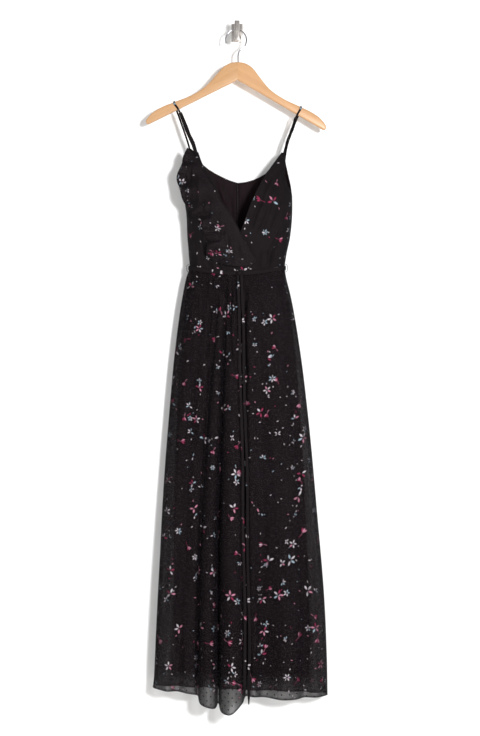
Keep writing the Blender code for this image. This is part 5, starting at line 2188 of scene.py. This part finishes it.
@dataclass
class Belt:
    """A narrow tie belt: a band round the waist, its knot, two hanging ends and loops."""

    finishes: Finishes
    tube: Tube
    width: float = 0.0108
    shell: float = 0.0016
    out_front: float = 0.0056
    out_back: float = 0.0024
    out_sides: float = 0.0026
    knot_x: float = 0.006
    knot_size: tuple[float, float, float] = (0.017, 0.009, 0.014)
    knot_fill: tuple[float, float, float] = (0.47, 0.42, 0.44)
    tie_width: float = 0.0074
    tie_shell: float = 0.0014
    tie_clear: float = 0.0022
    tie_rows: int = 90
    tie_start: float = 0.03
    tie_least_out: float = 0.0345
    tie_smooth: int = 4
    loop_height: float = 0.019
    loop_clear: float = 0.0022
    loop_out: float = 0.00375
    strand_pitch: float = 0.0042
    strand_off: float = 0.00042
    strand_radius: float = 0.00048
    ties: tuple[Tie, ...] = (
        Tie("belt_tie_left", 0.0019, 0.0135, 0.0195, -1.588, 0.0011),
        Tie("belt_tie_right", 0.0104, 0.0235, 0.0290, -1.612, -0.0013),
    )

    def knot_centre(self) -> Vector:
        """Centre of the knot, just in front of the belt.

        Returns:
            The centre.
        """
        ring = self.tube.half_ring(WAIST_Z, Face.FRONT, out=self.out_front)
        y = y_on(ring, self.knot_x) - self.knot_size[1] / 2 + 0.0015
        return Vector((self.knot_x, y, WAIST_Z - float(self.tube.sag(self.knot_x, WAIST_Z))))

    def band_line(self) -> np.ndarray:
        """The band's middle line, from the knot's left round the back to its right.

        Returns:
            Its points.
        """
        front = self.tube.half_ring(WAIST_Z, Face.FRONT, self.out_front, self.out_sides)
        back = self.tube.half_ring(WAIST_Z, Face.BACK, self.out_back, self.out_sides)
        half = self.knot_size[0] / 2 - 0.003
        ends = [[(x, y_on(front, x), WAIST_Z)] for x in (self.knot_x - half, self.knot_x + half)]
        left = front[front[:, 0] < self.knot_x - half][::-1]
        right = front[front[:, 0] > self.knot_x + half][::-1]
        line = np.concatenate([ends[0], left, back[1:-1], right, ends[1]])
        row = stretch(line, 0.0, run_lengths(line)[-1], np.linspace(0.0, 1.0, 240))
        row[:, 2] -= np.where(row[:, 1] < MIDDLE_Y, self.tube.sag(row[:, 0], WAIST_Z), 0.0)
        return row

    def knot(self) -> bmesh.types.BMesh:
        """The knot: a lump of folded cloth with one turn of the band round it.

        Returns:
            Its mesh.
        """
        centre = self.knot_centre()
        bm = bmesh.new()
        radii = [size * share for size, share in zip(self.knot_size, self.knot_fill)]
        scale = Matrix.Diagonal((*radii, 1))
        bmesh.ops.create_uvsphere(
            bm, u_segments=40, v_segments=24, radius=1.0, matrix=Matrix.Translation(centre) @ scale
        )
        for vert in bm.verts:
            away = vert.co - centre
            fold = math.sin(away.x * 900.0 + away.z * 500.0) * 0.00035
            vert.co += away.normalized() * fold
        layer = bm.loops.layers.uv.new(CLOTH_MAP)
        for face in bm.faces:
            for loop in face.loops:
                loop[layer].uv = (loop.vert.co.x + 0.93, loop.vert.co.z)
        angle = np.linspace(0.0, TAU, 49)
        wrap = np.stack(
            [
                centre.x + 0.0016 * np.cos(angle),
                centre.y + 0.0038 * np.sin(angle),
                centre.z + 0.0063 * np.cos(angle),
            ],
            axis=1,
        )
        turn = band_mesh(wrap, np.array([1.0, 0.0, -0.15]), 0.0085, 0.0012, (0.91, 0.4), 12)
        mesh = bpy.data.meshes.new("turn")
        turn.to_mesh(mesh)
        turn.free()
        bm.from_mesh(mesh)
        bpy.data.meshes.remove(mesh)
        return bm

    def tie_line(self, tie: Tie, front: np.ndarray) -> tuple[np.ndarray, np.ndarray]:
        """A hanging end's middle line and its width, just in front of the skirt.

        Args:
            tie: The hanging end.
            front: The skirt's front.

        Returns:
            The line's points, and the width at each.
        """
        knot = self.knot_centre()
        top = knot.z - self.knot_size[2] / 2 + 0.002
        flat = front.reshape(-1, 3)
        t = np.linspace(0.0, 1.0, self.tie_rows)
        z = top + (tie.z_end - top) * t
        x = three_point(tie.x_top, tie.x_mid, tie.x_end, t)
        y = np.zeros_like(t)
        for i in range(len(t)):
            near = flat[(abs(flat[:, 2] - z[i]) < 0.03) & (abs(flat[:, 0] - x[i]) < 0.010)]
            y[i] = near[:, 1].min() if len(near) else y[i - 1] + self.tie_clear
            y[i] = min(y[i] - self.tie_clear, MIDDLE_Y - self.tie_least_out)
        padded = np.pad(y, self.tie_smooth, mode="edge")
        window = 2 * self.tie_smooth + 1
        level = np.array([padded[i : i + window].mean() for i in range(len(y))])
        y = knot.y + (np.minimum(level, y + 0.001) - knot.y) * ease(t / self.tie_start)
        x = x + tie.sway * np.sin(t * 17.0 + tie.x_top * 300.0) * ease(t / 0.1)
        width = self.tie_width * (1.0 - 0.65 * ease((t - 0.975) / 0.025))
        width = width * (1.0 - 0.14 * np.sin(t * 23.0 + tie.sway * 900.0) ** 2)
        return np.stack([x, y, z], axis=1), width

    def loop(self, side: Side) -> bmesh.types.BMesh:
        """A thread loop at a side seam: two strands twisted round each other.

        Args:
            side: Which seam.

        Returns:
            Its mesh.
        """
        column = side.word
        half = self.loop_height / 2
        clear = self.loop_clear
        high, middle, low = (
            abs(float(column_at(self.tube.levels, column, WAIST_Z + up))) for up in (half, 0.0, -half)
        )
        outer = middle + self.out_sides + self.loop_out
        path = [
            (high - 0.0002, half + 0.0005),
            (high + clear, half - 0.0003),
            (outer, half - 0.0030),
            (outer, -half + 0.0030),
            (low + clear, -half + 0.0003),
            (low - 0.0002, -half - 0.0005),
        ]
        line = spline([(side.value * x, MIDDLE_Y, WAIST_Z + z) for x, z in path], 9)
        along = run_lengths(line)
        strands = []
        for start in (0.0, math.pi):
            angle = along * TAU / self.strand_pitch + start
            shift = np.stack([0.4 * np.cos(angle), np.sin(angle), 0.4 * np.cos(angle)], axis=1)
            strands.append(line + self.strand_off * shift)
        return tubes(strands, self.strand_radius)

    def build(self, front: np.ndarray) -> None:
        """Builds the band, knot, hanging ends and loops.

        Args:
            front: The skirt's front, which the ends hang on.
        """
        line = self.band_line()
        lengths = run_lengths(line)
        lean = 0.12 * np.sin(lengths * 33.0)
        across = np.stack([0.0 * lean, lean, np.ones_like(lean)], axis=1)
        width = self.width * (1.0 - 0.16 * np.sin(lengths * 24.0 + 0.6) ** 2)
        bm = band_mesh(line, across, width, self.shell, (0.57, 0.77), 16, 0.0003)
        publish("belt_cloth", bm, self.finishes.lined, ("belt",))
        publish("belt_knot_cloth", self.knot(), self.finishes.lined, ("belt_knot",))
        for tie in self.ties:
            path, width = self.tie_line(tie, front)
            bm = band_mesh(
                path,
                np.array([1.0, 0.12, 0.0]),
                width,
                self.tie_shell,
                (tie.x_top * 20.0, 0.3),
                12,
                0.0002,
            )
            piece = publish(tie.name + "_cloth", bm, self.finishes.lined, (tie.name,))
        for side in Side:
            name = f"belt_loop_{side.word}"
            publish(name + "_thread", self.loop(side), self.finishes.thread, (name,))


@dataclass
class Zip:
    """The centre back zip: two rows of coil on narrow tapes, a slider and its pull tab."""

    finishes: Finishes
    tube: Tube
    top: float = -0.372
    below_waist: float = 0.150
    pitch: float = 0.0016
    tooth: tuple[float, float, float] = (0.0015, 0.0008, 0.0009)
    tooth_x: float = 0.00075
    behind: float = 0.0018
    tape: tuple[float, float] = (0.0004, 0.0026)
    tape_shell: float = 0.0004

    def build(self, nodes: dict[str, bpy.types.Object]) -> None:
        """Builds the tapes and coil, and dresses the slider and pull.

        Args:
            nodes: The CAD's pieces by name.
        """
        z = np.linspace(self.top, WAIST_Z - self.below_waist, 60)
        y = column_at(self.tube.levels, "back", z) - self.behind
        bm = bmesh.new()
        heights = np.arange(self.top, WAIST_Z - self.below_waist, -self.pitch)
        for at in heights:
            depth = float(np.interp(-at, -z, y))
            for side in (-1, 1):
                centre = (
                    CENTRE_SEAM_X + side * self.tooth_x,
                    depth - 0.0002,
                    at - (0.5 * self.pitch if side > 0 else 0.0),
                )
                matrix = Matrix.Translation(Vector(centre)) @ Matrix.Diagonal((*self.tooth, 1.0))
                bmesh.ops.create_icosphere(bm, subdivisions=1, radius=0.62, matrix=matrix)
        publish("zip_coil_teeth", bm, self.finishes.enamel, ("zip_coil",))
        for side in Side:
            x = CENTRE_SEAM_X + side.value * np.array(self.tape)
            lines = [np.stack([np.full_like(z, at), y, z], axis=1) for at in np.sort(x)]
            points = np.stack(lines, axis=1)
            cut = cut_of(points, (0.0, 0.0))
            bm = grid_mesh(points, cut, (0.0, -1.0, 0.0))
            tape = publish(f"zip_tape_{side.word}", bm, self.finishes.lining)
            thicken(tape, self.tape_shell)
        for name in ("zip_slider", "zip_pull"):
            node = nodes[name]
            node.data.materials.clear()
            node.data.materials.append(self.finishes.enamel)
            LOG.info("%s keeps its solid, with enamel", name)


@dataclass
class Studio:
    """A white wall and floor, soft light from the right, and the photograph's camera."""

    wall_y: float = 0.0006
    floor_z: float = -1.760
    eye: tuple[float, float, float] = (0.007, -3.045, -0.816)
    lens: float = 61.1

    def plain(self, name: str, code: str, through_back: bool) -> bpy.types.Material:
        """A matt paint. The wall's shows only from its front, so the dress's back can be seen.

        Args:
            name: Its name.
            code: Its colour, as an sRGB code.
            through_back: True if it is clear from behind.

        Returns:
            The material.
        """
        material, tree = new_material(name)
        shader = add_node(tree, "BsdfPrincipled", {"Base Color": linear(code), "Roughness": 0.9})
        result = shader
        if through_back:
            sides = add_node(tree, "NewGeometry")
            clear = add_node(tree, "BsdfTransparent")
            result = add_node(tree, "MixShader", {0: sides.outputs["Backfacing"], 1: shader, 2: clear})
        add_node(tree, "OutputMaterial", {0: result})
        return material

    def plane(self, name: str, corners: list[tuple], material: bpy.types.Material) -> bpy.types.Object:
        """A flat sheet that isn't part of the object.

        Args:
            name: Its name.
            corners: Its corners in order.
            material: Its paint.

        Returns:
            The sheet.
        """
        bm = bmesh.new()
        bm.faces.new([bm.verts.new(corner) for corner in corners])
        mesh = bpy.data.meshes.new(name)
        bm.to_mesh(mesh)
        bm.free()
        mesh.materials.append(material)
        made = bpy.data.objects.new(name, mesh)
        bpy.context.scene.collection.objects.link(made)
        return made

    def lamp(self, name: str, place: tuple, aim: tuple, size: float, watts: float) -> None:
        """A soft square light.

        Args:
            name: Its name.
            place: Where it stands.
            aim: What it points at.
            size: Its side.
            watts: Its power.
        """
        data = bpy.data.lights.new(name, "AREA")
        data.energy = watts
        data.size = size
        made = bpy.data.objects.new(name, data)
        bpy.context.scene.collection.objects.link(made)
        made.location = place
        made.rotation_euler = (Vector(aim) - Vector(place)).to_track_quat("-Z", "Y").to_euler()

    def build(self) -> None:
        """Builds wall, floor, lights, world and camera."""
        y, z = self.wall_y, self.floor_z
        wall = self.plane(
            "studio_wall",
            [(-2.2, y, z), (2.2, y, z), (2.2, y, 1.2), (-2.2, y, 1.2)],
            self.plain("Matt white wall paint", "#F4F4F4", True),
        )
        wall.visible_shadow = False
        self.plane(
            "studio_floor",
            [(-4.0, -4.5, z), (4.0, -4.5, z), (4.0, 3.5, z), (-4.0, 3.5, z)],
            self.plain("Pale studio floor", "#E9E8E6", False),
        )
        self.lamp("key", (0.95, -2.9, -0.35), (0.0, 0.0, -0.80), 0.35, 90.0)
        self.lamp("fill", (-1.9, -2.6, -0.2), (0.0, 0.0, -0.9), 1.8, 16.0)
        self.lamp("back", (0.9, 2.6, 0.6), (0.0, 0.0, -0.8), 1.6, 45.0)
        world = bpy.data.worlds.new("studio")
        world.use_nodes = True
        world.node_tree.nodes.clear()
        back = add_node(world.node_tree, "Background", {0: (1.0, 1.0, 1.0, 1.0), 1: 0.34})
        add_node(world.node_tree, "OutputWorld", {0: back})
        bpy.context.scene.world = world
        bpy.context.scene.view_settings.view_transform = "Standard"
        data = bpy.data.cameras.new("camera")
        data.lens = self.lens
        data.sensor_width = 36.0
        camera = bpy.data.objects.new("camera", data)
        camera.location = self.eye
        camera.rotation_euler = (math.pi / 2, 0.0, 0.0)
        bpy.context.scene.collection.objects.link(camera)
        bpy.context.scene.camera = camera


def main() -> None:
    """Loads the frame, and builds the studio and every piece round it."""
    logging.basicConfig(level=logging.INFO, format="%(message)s")
    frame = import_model()
    Studio().build()
    finishes = Finishes()
    tube = Tube()
    hanger = Hanger(finishes)
    WallHook(finishes).build()
    hanger.build()
    Straps(finishes, hanger).build()
    Bodice(finishes, tube).build()
    Ruffle(finishes, tube).build()
    front = Skirt(finishes, tube).build()
    SkirtLining(finishes, tube).build()
    Belt(finishes, tube).build(front)
    Zip(finishes, tube).build(frame["nodes"])


if __name__ == "__main__":
    main()
